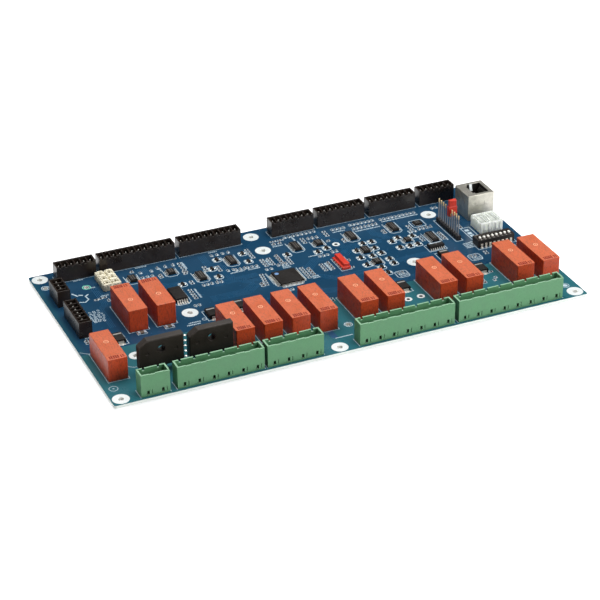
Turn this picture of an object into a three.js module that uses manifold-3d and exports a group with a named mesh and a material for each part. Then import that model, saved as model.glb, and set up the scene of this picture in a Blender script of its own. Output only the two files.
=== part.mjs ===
// Relay controller board: a printed circuit board carrying thirteen power relays, pluggable
// field-wiring headers, signal headers, bridge rectifiers, an Ethernet jack and set-up switches.
//
// Frame: millimetres, +X along the long edge, +Y towards the signal headers, +Z up.
// The origin is the centre of the board's underside. Parts are placed in "board places":
// x from the left edge, y from the front edge, z from the board's top face.

import * as THREE from 'three';
import { mergeVertices } from 'three/addons/utils/BufferGeometryUtils.js';
import ManifoldModule from 'manifold-3d';

const wasm = await ManifoldModule();
wasm.setup();

// ---- Driving dimensions ----------------------------------------------------------------------

const BOARD = { length: 260.5, depth: 137.5, thickness: 1.6, cornerRadius: 1.2 };

const HOLE_INSET = 5;
const MOUNTING_HOLE_RADIUS = 1.6;
const MOUNTING_HOLES = [
  [HOLE_INSET, HOLE_INSET],
  [120.4, HOLE_INSET],
  [BOARD.length - HOLE_INSET, HOLE_INSET],
  [HOLE_INSET, BOARD.depth - HOLE_INSET],
  [125, 130.5],
  [125, 113.6],
  [225.6, 113.9],
  [64.8, 67.6],
  [194.1, 68.1],
  [25.2, 39.5],
];
const TOOLING_HOLE_RADIUS = 1.35;
const TOOLING_HOLES = [
  [24.9, 114.8],
  [5, 122.8],
  [133.6, 23.3],
];

const RELAY = { width: 10.1, length: 28.5, height: 12.3, wall: 0.8, cornerRadius: 0.5 };
const RELAY_STEP = 7.55;
const FRONT_RELAY_ROW = { x: 76.8, y: 35.8, steps: [0, 2, 4, 6, 9, 11, 15, 17, 21, 23] };
const SUPPLY_RELAY = { x: 9.8, y: 35.6 };
const REAR_RELAY_PAIR = { x: 34.9, y: 75.7, steps: [0, 2] };

const POWER_PITCH = 7.62;
const POWER_HEADER = { front: 1.8, depth: 7, height: 12.1, endMargin: 3.65, wall: 0.9, floor: 3.2 };
const POWER_HEADERS = [
  { firstPole: 17.96, poles: 2 },
  { firstPole: 36.66, poles: 6 },
  { firstPole: 83.76, poles: 4 },
  { firstPole: 133.72, poles: 7 },
  { firstPole: 189.09, poles: 8 },
];

const CODING_NOTCH = { width: 1.2, depth: 1.3 };
const FOOT_SLOT = { width: 1.3, bottom: 0.9, top: 3.1, depth: 2.4, toe: 1, toeTop: 1.5 };
const FOOT_GROOVE = { offset: 1.8, width: 0.35, top: 3.4, depth: 0.5 };
const RIM_DIP = { start: 0.9, length: 3, depth: 0.3 };

const SIGNAL_PITCH = 3.5;
const SIGNAL_HEADER = { depth: 7, height: 9.2, extraLength: 0.7, wall: 0.9, floor: 2.4 };
const CELL_WALL = { thickness: 0.7, drop: 0.7 };
const KEY_NOTCH = { width: 1, depth: 0.9 };
const SIGNAL_HEADER_FRONT = 125.3;
const SIGNAL_HEADERS = [
  { left: 12.5, poles: 6 },
  { left: 36.1, poles: 12 },
  { left: 81.3, poles: 10 },
  { left: 135.2, poles: 7 },
  { left: 162.8, poles: 8 },
  { left: 194.3, poles: 8 },
  { left: 225.8, poles: 6 },
];
const SIDE_HEADER_OUTER = 4.8;
const SIDE_HEADERS = [
  { front: 100.4, poles: 4 },
  { front: 65.9, poles: 7 },
];

const RECTIFIER = { width: 23.2, height: 15.4, thickness: 4.6, standOff: 3.5, front: 20, bevel: 0.4 };
const RECTIFIER_CORNER = { width: 4.2, height: 3 };
const RECTIFIER_HOLE = { radius: 2, belowTop: 5.8 };
const RECTIFIER_DIMPLE = { radius: 1, depth: 0.3, spacing: 15, belowTop: 7 };
const RECTIFIER_CENTRES = [31.9, 58.1];
const RECTIFIER_LEG = { count: 4, width: 1.2, thickness: 0.8, pitch: 5.08 };

const JACK = { left: 242, front: 98, width: 16, depth: 15.7, height: 15, sheet: 0.4 };
const JACK_PORT = { x: 5.6, width: 8.2, y: 2, depth: 11.7, floor: 3 };
const LATCH_GROOVE = { reach: 1.1, width: 9 };

const CABLE_HEADER = { width: 6.7, depth: 12, height: 6.6, wall: 0.8, floor: 5.6 };
const CABLE_KEY = { inset: 2.2, width: 1.2 };
const CABLE_HEADERS = [240.9, 247.8];
const CABLE_HEADER_FRONT = 80.8;

const PIN_PITCH = 2.54;
const PIN_SIDE = 0.64;

const DIP = { left: 232.2, front: 67.4, length: 22.2, depth: 7, height: 4.4, lift: 0.2, ways: 8 };
const DIP_SLOT = { width: 1.5, length: 3.4, depth: 1.6 };
const DIP_SLIDER = { width: 1.2, length: 1.6, height: 2, base: 0.3, bevel: 0.25, endGap: 0.2 };
const DIP_LEG = { width: 1.2, thickness: 0.3, rooted: 0.2, shoulder: 2.2 };

const PIN_STRIP = { left: 225.7, front: 79.9, pins: 10, height: 2.54, pinTop: 14.4, chamfer: 0.4 };
const PARKED_JUMPER = { onPin: 4, bottom: 9.7, top: 19.3, width: 5.08, thickness: 2.54 };
const JUMPER_GRIP = { height: 3.9, inset: 0.35 };
const JUMPER_SOCKET = { side: 0.88, overPin: 0.3 };

const LINK_BLOCK = { left: 154.8, front: 75.6, width: 5, length: 13.2, height: 3.2, step: 1.5 };
const LINK_RIDGE = { left: 1.3, width: 3.3, front: 0.8 };
const WIRE_BLOCK = { left: 32, front: 106.6, width: 9.6, length: 15.4, height: 3.8, rows: 3, columns: 2 };
const WIRE_MOUTH = { width: 1.4, length: 2.2, floor: 1.5 };
const WIRE_GROOVE = { width: 0.6, rowFloor: 2.3, middleFloor: 2.85 };

const CONTROLLER = { x: 124.9, y: 80, side: 13.6, height: 1.5, edge: 0.25 };
const CHIP_LIFT = 0.1;

const REGULATOR = { x: 65.2, y: 86.3, width: 7.4, length: 12.6, height: 2.3, edge: 0.4 };
const POWER_DIODE = { width: 5.9, length: 7.6, height: 2.3, edge: 0.5 };
const POWER_DIODES = [
  { x: 22.4, y: 57.2 },
  { x: 74.2, y: 61 },
  { x: 89.8, y: 62.6 },
  { x: 175.6, y: 45.6 },
  { x: 221.7, y: 45.8 },
  { x: 211.4, y: 66.6 },
];

// Inside a relay, measured from the middle of its case: y runs along the case, z from the board.
const RELAY_BASE = { width: 8.3, length: 26.6, thickness: 1.6, clearance: 0.2 };
const COIL = { axisZ: 5.4, back: -9.2, front: 5.2, flange: 0.8, flangeSide: 7, windingRadius: 3, bore: 1.5 };
const CORE_RADIUS = 1.3;
const YOKE = { width: 7, thickness: 1, back: -10.6, bottom: 1.9, top: 10.6, front: 6.4 };
const ARMATURE = { gap: 0.45, thickness: 1, width: 6.4, bottom: 2.2, top: 10.4 };
const FINGER = { width: 2, reach: 3.1, height: 0.8 };
const CONTACT = { width: 2.6, thickness: 0.3, y: 11.6, top: 9.4, buttonRadius: 0.9, buttonHeight: 0.5 };

const ROUND_SEGMENTS = 20;

// ---- Colours ---------------------------------------------------------------------------------

const material = (color, roughness, metalness = 0) =>
  new THREE.MeshStandardMaterial({ color, roughness, metalness });

const MATERIALS = {
  board: material(0x1d4a70, 0.35),
  relayCase: material(0xc4512c, 0.55),
  relayBase: material(0x8a3a20, 0.6),
  copper: material(0xb5622e, 0.4, 0.8),
  steel: material(0x9a9c9e, 0.35, 0.9),
  greenPlastic: material(0x6fa57a, 0.5),
  blackPlastic: material(0x241f1d, 0.55),
  epoxy: material(0x1a1817, 0.45),
  tin: material(0xc9c7bf, 0.3, 0.9),
  whitePlastic: material(0xdbe0da, 0.45),
  redPlastic: material(0xcf2f1e, 0.5),
  creamPlastic: material(0xd8d2bd, 0.4),
};

// ---- Solids ----------------------------------------------------------------------------------

function toSolid(geometry) {
  const bare = geometry.index ? geometry.clone() : geometry;
  bare.deleteAttribute('normal');
  bare.deleteAttribute('uv');
  const merged = mergeVertices(bare, 1e-5);
  const vertProperties = new Float32Array(merged.attributes.position.array);
  const triVerts = new Uint32Array(merged.index.array);
  return new wasm.Manifold(new wasm.Mesh({ numProp: 3, vertProperties, triVerts }));
}

function toGeometry(solid) {
  const mesh = solid.getMesh();
  const geometry = new THREE.BufferGeometry();
  geometry.setAttribute('position', new THREE.BufferAttribute(mesh.vertProperties, 3));
  geometry.setIndex(new THREE.BufferAttribute(mesh.triVerts, 1));
  geometry.computeVertexNormals();
  return geometry;
}

const join = (first, ...others) => others.reduce((sum, other) => sum.add(other), first);
const cut = (first, ...others) => others.reduce((rest, other) => rest.subtract(other), first);

// A block between two opposite corners.
function block(x0, x1, y0, y1, z0, z1) {
  const geometry = new THREE.BoxGeometry(x1 - x0, y1 - y0, z1 - z0);
  geometry.translate((x0 + x1) / 2, (y0 + y1) / 2, (z0 + z1) / 2);
  return toSolid(geometry);
}

// An outline in the XY plane, raised from z0 to z1.
function raised(shape, z0, z1) {
  const options = { depth: z1 - z0, bevelEnabled: false, curveSegments: 3 };
  const geometry = new THREE.ExtrudeGeometry(shape, options);
  geometry.translate(0, 0, z0);
  return toSolid(geometry);
}

// A round bar along Z, or along Y when alongY is set.
function bar(x, y, radius, from, to, alongY = false) {
  const geometry = new THREE.CylinderGeometry(radius, radius, to - from, ROUND_SEGMENTS);
  if (alongY) geometry.translate(x, (from + to) / 2, y);
  else geometry.rotateX(Math.PI / 2).translate(x, y, (from + to) / 2);
  return toSolid(geometry);
}

function polygon(points) {
  return new THREE.Shape(points.map(([x, y]) => new THREE.Vector2(x, y)));
}

function roundedRectangle(x0, y0, x1, y1, r) {
  const shape = new THREE.Shape();
  shape.moveTo(x0 + r, y0);
  shape.lineTo(x1 - r, y0);
  shape.absarc(x1 - r, y0 + r, r, -Math.PI / 2, 0);
  shape.lineTo(x1, y1 - r);
  shape.absarc(x1 - r, y1 - r, r, 0, Math.PI / 2);
  shape.lineTo(x0 + r, y1);
  shape.absarc(x0 + r, y1 - r, r, Math.PI / 2, Math.PI);
  shape.lineTo(x0, y0 + r);
  shape.absarc(x0 + r, y0 + r, r, Math.PI, Math.PI * 1.5);
  return shape;
}

// ---- The tree --------------------------------------------------------------------------------

const product = new THREE.Group();
const boardTop = new THREE.Group();
boardTop.position.set(-BOARD.length / 2, -BOARD.depth / 2, BOARD.thickness);
product.add(boardTop);

function place(name, solid, finish, x = 0, y = 0, z = 0) {
  const mesh = new THREE.Mesh(toGeometry(solid), finish);
  mesh.name = name;
  mesh.position.set(x, y, z);
  boardTop.add(mesh);
  return mesh;
}

// ---- Board -----------------------------------------------------------------------------------

function boardSolid() {
  const shape = roundedRectangle(0, 0, BOARD.length, BOARD.depth, BOARD.cornerRadius);
  const drills = [
    ...MOUNTING_HOLES.map(([x, y]) => bar(x, y, MOUNTING_HOLE_RADIUS, -3, 1)),
    ...TOOLING_HOLES.map(([x, y]) => bar(x, y, TOOLING_HOLE_RADIUS, -3, 1)),
  ];
  return cut(raised(shape, -BOARD.thickness, 0), ...drills);
}

// ---- Relays ----------------------------------------------------------------------------------

function relayCaseSolid() {
  const { width, length, height, wall, cornerRadius } = RELAY;
  const outline = roundedRectangle(-width / 2, -length / 2, width / 2, length / 2, cornerRadius);
  const hollow = block(
    -width / 2 + wall, width / 2 - wall,
    -length / 2 + wall, length / 2 - wall,
    -1, height - wall,
  );
  return cut(raised(outline, 0, height), hollow);
}

// The moulded plate that carries the coil and the two fixed contact blades.
function relayBaseSolid() {
  const { width, length, thickness, clearance } = RELAY_BASE;
  const plate = block(-width / 2, width / 2, -length / 2, length / 2, clearance, thickness);
  const wallFront = CONTACT.y + CONTACT.thickness + clearance;
  const bladeSlot = block(
    -CONTACT.width / 2 - clearance, CONTACT.width / 2 + clearance,
    CONTACT.y - clearance, wallFront,
    0, thickness + 1,
  );
  return cut(plate, bladeSlot);
}

function coilSolid() {
  const { axisZ, back, front, flange, flangeSide, windingRadius, bore } = COIL;
  const half = flangeSide / 2;
  const flangeAt = (y) => block(-half, half, y, y + flange, axisZ - half, axisZ + half);
  const winding = bar(0, axisZ, windingRadius, back + flange / 2, front - flange / 2, true);
  const hole = bar(0, axisZ, bore, back - 1, front + 1, true);
  return cut(join(winding, flangeAt(back), flangeAt(front - flange)), hole);
}

// Core, back plate and top plate: the fixed part of the magnetic circuit.
function yokeSolid() {
  const { width, thickness, back, bottom, top, front } = YOKE;
  const half = width / 2;
  const backPlate = block(-half, half, back, back + thickness, bottom, top);
  const topPlate = block(-half, half, back, front, top - thickness, top);
  const core = bar(0, COIL.axisZ, CORE_RADIUS, back + thickness / 2, front, true);
  return join(backPlate, topPlate, core);
}

// The clapper that the coil pulls in, with the finger that works the contact blade.
function armatureSolid() {
  const { gap, thickness, width, bottom, top } = ARMATURE;
  const y = YOKE.front + gap;
  const plate = block(-width / 2, width / 2, y, y + thickness, bottom, top);
  const half = FINGER.width / 2;
  const fingerTip = y + thickness + FINGER.reach;
  const finger = block(-half, half, y + thickness / 2, fingerTip, COIL.axisZ, COIL.axisZ + FINGER.height);
  return join(plate, finger);
}

function contactBladeSolid() {
  const { width, thickness, y, top, buttonRadius, buttonHeight } = CONTACT;
  const blade = block(-width / 2, width / 2, y, y + thickness, RELAY_BASE.clearance, top);
  const buttonZ = COIL.axisZ + FINGER.height / 2;
  const button = bar(0, buttonZ, buttonRadius, y - buttonHeight, y + thickness / 2, true);
  return join(blade, button);
}

function addRelays() {
  const along = ({ x, y, steps }) => steps.map((step) => [x + step * RELAY_STEP, y]);
  const places = [
    [SUPPLY_RELAY.x, SUPPLY_RELAY.y],
    ...along(REAR_RELAY_PAIR),
    ...along(FRONT_RELAY_ROW),
  ];
  places.forEach(([x, y], index) => {
    place(`relay_case_${index + 1}`, relayCaseSolid(), MATERIALS.relayCase, x, y);
  });
  const [x, y] = places[0];
  place('relay_1_base', relayBaseSolid(), MATERIALS.relayBase, x, y);
  place('relay_1_coil', coilSolid(), MATERIALS.copper, x, y);
  place('relay_1_yoke', yokeSolid(), MATERIALS.steel, x, y);
  place('relay_1_armature', armatureSolid(), MATERIALS.steel, x, y);
  place('relay_1_contact_blade', contactBladeSolid(), MATERIALS.tin, x, y);
}

// ---- Power headers ---------------------------------------------------------------------------

// An open trough. Each pole has a coding notch in the back wall, and a keying slot with a toe
// and a thin groove beside it at the foot of the front wall.
function powerHeaderSolid(poles) {
  const { depth, height, endMargin, wall, floor } = POWER_HEADER;
  const length = (poles - 1) * POWER_PITCH + 2 * endMargin;
  const trough = block(wall, length - wall, wall, depth - wall, floor, height + 1);
  const cuts = [trough];
  for (let pole = 0; pole < poles; pole += 1) {
    const x = endMargin + pole * POWER_PITCH;
    cuts.push(codingNotch(x), ...footSlot(x), rimDip(x));
  }
  return cut(block(0, length, 0, depth, 0, height), ...cuts);
}

function codingNotch(x) {
  const { depth, height, wall } = POWER_HEADER;
  const half = CODING_NOTCH.width / 2;
  return block(x - half, x + half, depth - wall - 0.1, depth + 1, height - CODING_NOTCH.depth, height + 1);
}

function footSlot(x) {
  const { width, bottom, top, depth, toe, toeTop } = FOOT_SLOT;
  const grooveX = x + FOOT_GROOVE.offset;
  return [
    block(x - width / 2, x + width / 2, -1, depth, bottom, top),
    block(x - toe, x, -1, depth, bottom, toeTop),
    block(grooveX, grooveX + FOOT_GROOVE.width, -1, FOOT_GROOVE.depth, bottom, FOOT_GROOVE.top),
  ];
}

function rimDip(x) {
  const { height, wall } = POWER_HEADER;
  const start = x + RIM_DIP.start;
  return block(start, start + RIM_DIP.length, -1, wall + 0.1, height - RIM_DIP.depth, height + 1);
}

function addPowerHeaders() {
  POWER_HEADERS.forEach(({ firstPole, poles }, index) => {
    const x = firstPole - POWER_HEADER.endMargin;
    const solid = powerHeaderSolid(poles);
    place(`power_header_${index + 1}`, solid, MATERIALS.greenPlastic, x, POWER_HEADER.front);
  });
}

// ---- Signal headers --------------------------------------------------------------------------

// One cell per pole. The walls between cells stop a little below the rim, and each cell has a
// key notch in the front wall.
function signalHeaderSolid(poles) {
  const { depth, height, extraLength, wall, floor } = SIGNAL_HEADER;
  const length = poles * SIGNAL_PITCH + extraLength;
  const aboveCells = block(wall, length - wall, wall, depth - wall, height - CELL_WALL.drop, height + 1);
  const cuts = [aboveCells];
  for (let pole = 0; pole < poles; pole += 1) {
    const start = extraLength / 2 + pole * SIGNAL_PITCH;
    const left = Math.max(start + CELL_WALL.thickness / 2, wall);
    const right = Math.min(start + SIGNAL_PITCH - CELL_WALL.thickness / 2, length - wall);
    const middle = start + SIGNAL_PITCH / 2;
    const half = KEY_NOTCH.width / 2;
    cuts.push(block(left, right, wall, depth - wall, floor, height));
    cuts.push(block(middle - half, middle + half, -1, wall + 0.1, height - KEY_NOTCH.depth, height + 1));
  }
  return cut(block(0, length, 0, depth, 0, height), ...cuts);
}

function addSignalHeaders() {
  SIGNAL_HEADERS.forEach(({ left, poles }, index) => {
    const solid = signalHeaderSolid(poles);
    place(`signal_header_${index + 1}`, solid, MATERIALS.blackPlastic, left, SIGNAL_HEADER_FRONT);
  });
  SIDE_HEADERS.forEach(({ front, poles }, index) => {
    const inner = SIDE_HEADER_OUTER + SIGNAL_HEADER.depth;
    const solid = signalHeaderSolid(poles).rotate([0, 0, 90]);
    place(`side_header_${index + 1}`, solid, MATERIALS.blackPlastic, inner, front);
  });
}

// ---- Bridge rectifiers -----------------------------------------------------------------------

// A slab on edge with one cut corner, a screw hole, two moulding dimples and four legs.
function rectifierSolid() {
  const { thickness, standOff, height } = RECTIFIER;
  const top = standOff + height;
  const hole = bar(0, top - RECTIFIER_HOLE.belowTop, RECTIFIER_HOLE.radius, -1, thickness + 1, true);
  const { radius, depth, spacing, belowTop } = RECTIFIER_DIMPLE;
  const dimples = [-spacing / 2, spacing / 2].map((x) => bar(x, top - belowTop, radius, -1, depth, true));
  return join(cut(rectifierSlab(), hole, ...dimples), ...rectifierLegs());
}

function rectifierSlab() {
  const { width, height, thickness, standOff, bevel } = RECTIFIER;
  const half = width / 2 - bevel;
  const top = standOff + height - bevel;
  const outline = polygon([
    [-half, standOff + bevel],
    [half, standOff + bevel],
    [half, top],
    [-half + RECTIFIER_CORNER.width, top],
    [-half, top - RECTIFIER_CORNER.height],
  ]);
  const slab = new THREE.ExtrudeGeometry(outline, {
    depth: thickness - 2 * bevel,
    bevelEnabled: true,
    bevelThickness: bevel,
    bevelSize: bevel,
    bevelSegments: 1,
  });
  slab.translate(0, 0, bevel - thickness).rotateX(Math.PI / 2);
  return toSolid(slab);
}

function rectifierLegs() {
  const { count, width, thickness, pitch } = RECTIFIER_LEG;
  const middle = RECTIFIER.thickness / 2;
  const legs = [];
  for (let leg = 0; leg < count; leg += 1) {
    const x = (leg - (count - 1) / 2) * pitch;
    legs.push(block(
      x - width / 2, x + width / 2,
      middle - thickness / 2, middle + thickness / 2,
      0, RECTIFIER.standOff + 1,
    ));
  }
  return legs;
}

function addRectifiers() {
  RECTIFIER_CENTRES.forEach((x, index) => {
    place(`bridge_rectifier_${index + 1}`, rectifierSolid(), MATERIALS.epoxy, x, RECTIFIER.front);
  });
}

// ---- Ethernet jack ---------------------------------------------------------------------------

function jackShellSolid() {
  const { width, depth, height, sheet } = JACK;
  const inside = block(sheet, width - sheet, sheet, depth - sheet, -1, height - sheet);
  return cut(block(0, width, 0, depth, 0, height), inside, jackPort());
}

// The plug's way in, with the latch groove on its left side.
function jackPort() {
  const { x, width, y, depth, floor } = JACK_PORT;
  const mouth = block(x, x + width, y, y + depth, floor, JACK.height + 1);
  const { reach, width: grooveWidth } = LATCH_GROOVE;
  const grooveFront = y + (depth - grooveWidth) / 2;
  const groove = block(x - reach, x + 0.1, grooveFront, grooveFront + grooveWidth, floor, JACK.height + 1);
  return join(mouth, groove);
}

function jackInsertSolid() {
  const { width, depth, height, sheet } = JACK;
  const gap = sheet + 0.1;
  return cut(block(gap, width - gap, gap, depth - gap, 0, height - gap), jackPort());
}

function addJack() {
  place('ethernet_jack_shell', jackShellSolid(), MATERIALS.tin, JACK.left, JACK.front);
  place('ethernet_jack_insert', jackInsertSolid(), MATERIALS.blackPlastic, JACK.left, JACK.front);
}

// ---- Cable headers ---------------------------------------------------------------------------

function cableHeaderSolid() {
  const { width, depth, height, wall, floor } = CABLE_HEADER;
  const pocket = block(wall, width - wall, wall, depth - wall, floor, height + 1);
  const keySlot = (y) => block(-1, wall + 0.1, y, y + CABLE_KEY.width, floor, height + 1);
  return cut(
    block(0, width, 0, depth, 0, height),
    pocket,
    keySlot(CABLE_KEY.inset),
    keySlot(depth - CABLE_KEY.inset - CABLE_KEY.width),
  );
}

function addCableHeaders() {
  CABLE_HEADERS.forEach((x, index) => {
    const solid = cableHeaderSolid();
    place(`cable_header_${index + 1}`, solid, MATERIALS.whitePlastic, x, CABLE_HEADER_FRONT);
  });
}

// ---- DIP switch ------------------------------------------------------------------------------

const dipWay = (index) => DIP.length / 2 + (index - (DIP.ways - 1) / 2) * PIN_PITCH;

function dipBodySolid() {
  const { length, depth, height, ways } = DIP;
  const slots = [];
  const legs = [];
  for (let way = 0; way < ways; way += 1) {
    const x = dipWay(way);
    const w = DIP_SLOT.width / 2;
    const l = DIP_SLOT.length / 2;
    slots.push(block(x - w, x + w, depth / 2 - l, depth / 2 + l, height - DIP_SLOT.depth, height + 1));
    const h = DIP_LEG.width / 2;
    legs.push(block(x - h, x + h, -DIP_LEG.thickness, DIP_LEG.rooted, 0, DIP_LEG.shoulder));
    legs.push(block(x - h, x + h, depth - DIP_LEG.rooted, depth + DIP_LEG.thickness, 0, DIP_LEG.shoulder));
  }
  return join(cut(block(0, length, 0, depth, DIP.lift, height), ...slots), ...legs);
}

// A square knob with a bevelled top.
function dipSliderSolid() {
  const { width, length, height, bevel } = DIP_SLIDER;
  const half = length / 2;
  const shape = polygon([
    [-half, 0],
    [half, 0],
    [half, height - bevel],
    [half - bevel, height],
    [bevel - half, height],
    [-half, height - bevel],
  ]);
  const geometry = new THREE.ExtrudeGeometry(shape, { depth: width, bevelEnabled: false });
  geometry.translate(0, 0, -width / 2).rotateX(Math.PI / 2).rotateZ(Math.PI / 2);
  return toSolid(geometry);
}

function addDipSwitch() {
  place('dip_switch_body', dipBodySolid(), MATERIALS.epoxy, DIP.left, DIP.front);
  const z = DIP.height - DIP_SLOT.depth + DIP_SLIDER.base;
  const y = DIP.front + DIP.depth / 2 - dipTravel() / 2;
  for (let way = 0; way < DIP.ways; way += 1) {
    const x = DIP.left + dipWay(way);
    place(`dip_slider_${way + 1}`, dipSliderSolid(), MATERIALS.whitePlastic, x, y, z);
  }
}

// How far a slider moves from one end of its slot to the other.
function dipTravel() {
  return DIP_SLOT.length - DIP_SLIDER.length - 2 * DIP_SLIDER.endGap;
}

// ---- Pin strip and jumper --------------------------------------------------------------------

function pinStripSolid() {
  const { pins, height, pinTop, chamfer } = PIN_STRIP;
  const length = pins * PIN_PITCH;
  const outline = [];
  for (let pin = 0; pin < pins; pin += 1) {
    const y = pin * PIN_PITCH;
    const next = y + PIN_PITCH;
    outline.push([PIN_PITCH, y], [PIN_PITCH, next - chamfer], [PIN_PITCH - chamfer, next]);
  }
  for (let pin = pins; pin > 0; pin -= 1) {
    const y = pin * PIN_PITCH;
    outline.push([chamfer, y], [0, y - chamfer], [0, y - PIN_PITCH + chamfer]);
  }
  outline.push([chamfer, 0]);
  const strip = raised(polygon(outline), 0, height);
  const half = PIN_SIDE / 2;
  const contacts = [];
  for (let pin = 0; pin < pins; pin += 1) {
    const y = (pin + 0.5) * PIN_PITCH;
    const x = PIN_PITCH / 2;
    contacts.push(block(x - half, x + half, y - half, y + half, height - 0.5, pinTop));
  }
  const clipped = strip.intersect(block(0, PIN_PITCH, 0, length, 0, height));
  return join(clipped, ...contacts);
}

// A tall grip jumper: two sockets below, a narrower grip above. It is parked on a single pin.
function jumperSolid() {
  const { width, thickness, bottom, top } = PARKED_JUMPER;
  const { height: gripHeight, inset } = JUMPER_GRIP;
  const height = top - bottom;
  const shoulder = height - gripHeight;
  const body = block(0, width, 0, thickness, 0, shoulder);
  const handle = block(inset, width - inset, inset, thickness - inset, shoulder - 0.1, height);
  const sockets = [0.5, 1.5].map((place) => {
    const x = place * PIN_PITCH;
    const y = thickness / 2;
    const half = JUMPER_SOCKET.side / 2;
    const end = PIN_STRIP.pinTop - bottom + JUMPER_SOCKET.overPin;
    return block(x - half, x + half, y - half, y + half, -1, end);
  });
  return cut(join(body, handle), ...sockets);
}

function addPinStrip() {
  place('pin_strip', pinStripSolid(), MATERIALS.blackPlastic, PIN_STRIP.left, PIN_STRIP.front);
  const y = PIN_STRIP.front + PARKED_JUMPER.onPin * PIN_PITCH;
  place('parked_jumper', jumperSolid(), MATERIALS.redPlastic, PIN_STRIP.left, y, PARKED_JUMPER.bottom);
}

// ---- Small blocks ----------------------------------------------------------------------------

function linkBlockSolid() {
  const { width, length, height, step } = LINK_BLOCK;
  const { left, width: ridgeWidth, front } = LINK_RIDGE;
  const lower = block(0, width, 0, length, 0, step);
  const ridge = block(left, left + ridgeWidth, front, length, step - 0.1, height);
  return join(lower, ridge);
}

// A low block with one wire mouth per row and column, and grooves between them.
function wireBlockSolid() {
  const { width, length, height, rows, columns } = WIRE_BLOCK;
  const rowPitch = length / rows;
  const columnPitch = width / columns;
  const half = WIRE_GROOVE.width / 2;
  const middle = width / 2;
  const cuts = [block(middle - half, middle + half, -1, length + 1, WIRE_GROOVE.middleFloor, height + 1)];
  for (let row = 0; row < rows; row += 1) {
    for (let column = 0; column < columns; column += 1) {
      cuts.push(wireMouth((column + 0.5) * columnPitch, (row + 0.5) * rowPitch));
    }
  }
  for (let row = 1; row < rows; row += 1) {
    const y = row * rowPitch;
    cuts.push(block(-1, width + 1, y - half, y + half, WIRE_GROOVE.rowFloor, height + 1));
  }
  return cut(block(0, width, 0, length, 0, height), ...cuts);
}

function wireMouth(x, y) {
  const { width, length, floor } = WIRE_MOUTH;
  return block(x - width / 2, x + width / 2, y - length / 2, y + length / 2, floor, WIRE_BLOCK.height + 1);
}

// A moulded chip body whose long sides taper to a parting line at half height.
function chipSolid(width, length, height, edge) {
  const top = CHIP_LIFT + height;
  const partingLine = CHIP_LIFT + height / 2;
  const shape = polygon([
    [-width / 2 + edge, CHIP_LIFT],
    [width / 2 - edge, CHIP_LIFT],
    [width / 2, partingLine],
    [width / 2 - edge, top],
    [-width / 2 + edge, top],
    [-width / 2, partingLine],
  ]);
  const geometry = new THREE.ExtrudeGeometry(shape, { depth: length, bevelEnabled: false });
  geometry.translate(0, 0, -length / 2).rotateX(Math.PI / 2);
  return toSolid(geometry);
}

function addSmallBlocks() {
  place('link_block', linkBlockSolid(), MATERIALS.redPlastic, LINK_BLOCK.left, LINK_BLOCK.front);
  place('wire_block', wireBlockSolid(), MATERIALS.creamPlastic, WIRE_BLOCK.left, WIRE_BLOCK.front);
  const { side } = CONTROLLER;
  const controller = chipSolid(side, side, CONTROLLER.height, CONTROLLER.edge);
  place('microcontroller', controller, MATERIALS.epoxy, CONTROLLER.x, CONTROLLER.y);
  const regulator = chipSolid(REGULATOR.width, REGULATOR.length, REGULATOR.height, REGULATOR.edge);
  place('regulator', regulator, MATERIALS.epoxy, REGULATOR.x, REGULATOR.y);
  POWER_DIODES.forEach(({ x, y }, index) => {
    const { width, length, height, edge } = POWER_DIODE;
    const diode = chipSolid(width, length, height, edge);
    place(`power_diode_${index + 1}`, diode, MATERIALS.epoxy, x, y);
  });
}

place('circuit_board', boardSolid(), MATERIALS.board);
addRelays();
addPowerHeaders();
addSignalHeaders();
addRectifiers();
addJack();
addCableHeaders();
addDipSwitch();
addPinStrip();
addSmallBlocks();

export default product;
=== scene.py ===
"""The looks of a relay controller board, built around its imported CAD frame.

Sizes are millimetres. Small parts stand at board places: x from the left edge, y from the front
edge and z from the board's top face. Blender itself works in metres, in the frame of the CAD.
"""
import math
import random

import bmesh
import bpy
from mathutils import Matrix, Vector


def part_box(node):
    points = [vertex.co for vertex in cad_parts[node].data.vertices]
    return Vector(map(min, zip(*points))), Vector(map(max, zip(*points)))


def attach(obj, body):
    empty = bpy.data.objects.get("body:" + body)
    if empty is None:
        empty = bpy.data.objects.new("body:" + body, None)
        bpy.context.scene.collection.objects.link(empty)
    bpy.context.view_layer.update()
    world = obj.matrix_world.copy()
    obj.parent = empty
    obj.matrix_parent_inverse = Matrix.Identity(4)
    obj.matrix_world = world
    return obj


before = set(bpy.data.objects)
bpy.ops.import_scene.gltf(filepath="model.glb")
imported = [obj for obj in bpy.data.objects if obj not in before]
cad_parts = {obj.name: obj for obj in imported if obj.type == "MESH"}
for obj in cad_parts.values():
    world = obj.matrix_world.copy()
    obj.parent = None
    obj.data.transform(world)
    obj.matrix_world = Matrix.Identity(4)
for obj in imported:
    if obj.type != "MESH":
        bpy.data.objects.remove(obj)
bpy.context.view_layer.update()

MM = 0.001
SEED = 7
BOARD_BODY = "board"
SHARP_ANGLE = 30         # corners of the small parts sharper than this are shaded as corners
BEVEL_ANGLE = 35         # corners of the CAD parts sharper than this get a soft edge

board_low, board_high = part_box("circuit_board")
LENGTH = (board_high.x - board_low.x) / MM
DEPTH = (board_high.y - board_low.y) / MM
THICKNESS = (board_high.z - board_low.z) / MM
UNDERSIDE = -THICKNESS
LEAD_TIP = 1.1
FLOOR_BELOW_BOARD = 1.3


def to_row(x, y, z):
    """A board place as a point in the row frame, in metres."""
    return Vector((board_low.x + x * MM, board_low.y + y * MM, board_high.z + z * MM))


def place_box(node):
    """A CAD node's two corners as board places."""
    corners = []
    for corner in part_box(node):
        x = (corner.x - board_low.x) / MM
        y = (corner.y - board_low.y) / MM
        z = (corner.z - board_high.z) / MM
        corners.append(Vector((x, y, z)))
    return corners


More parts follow.
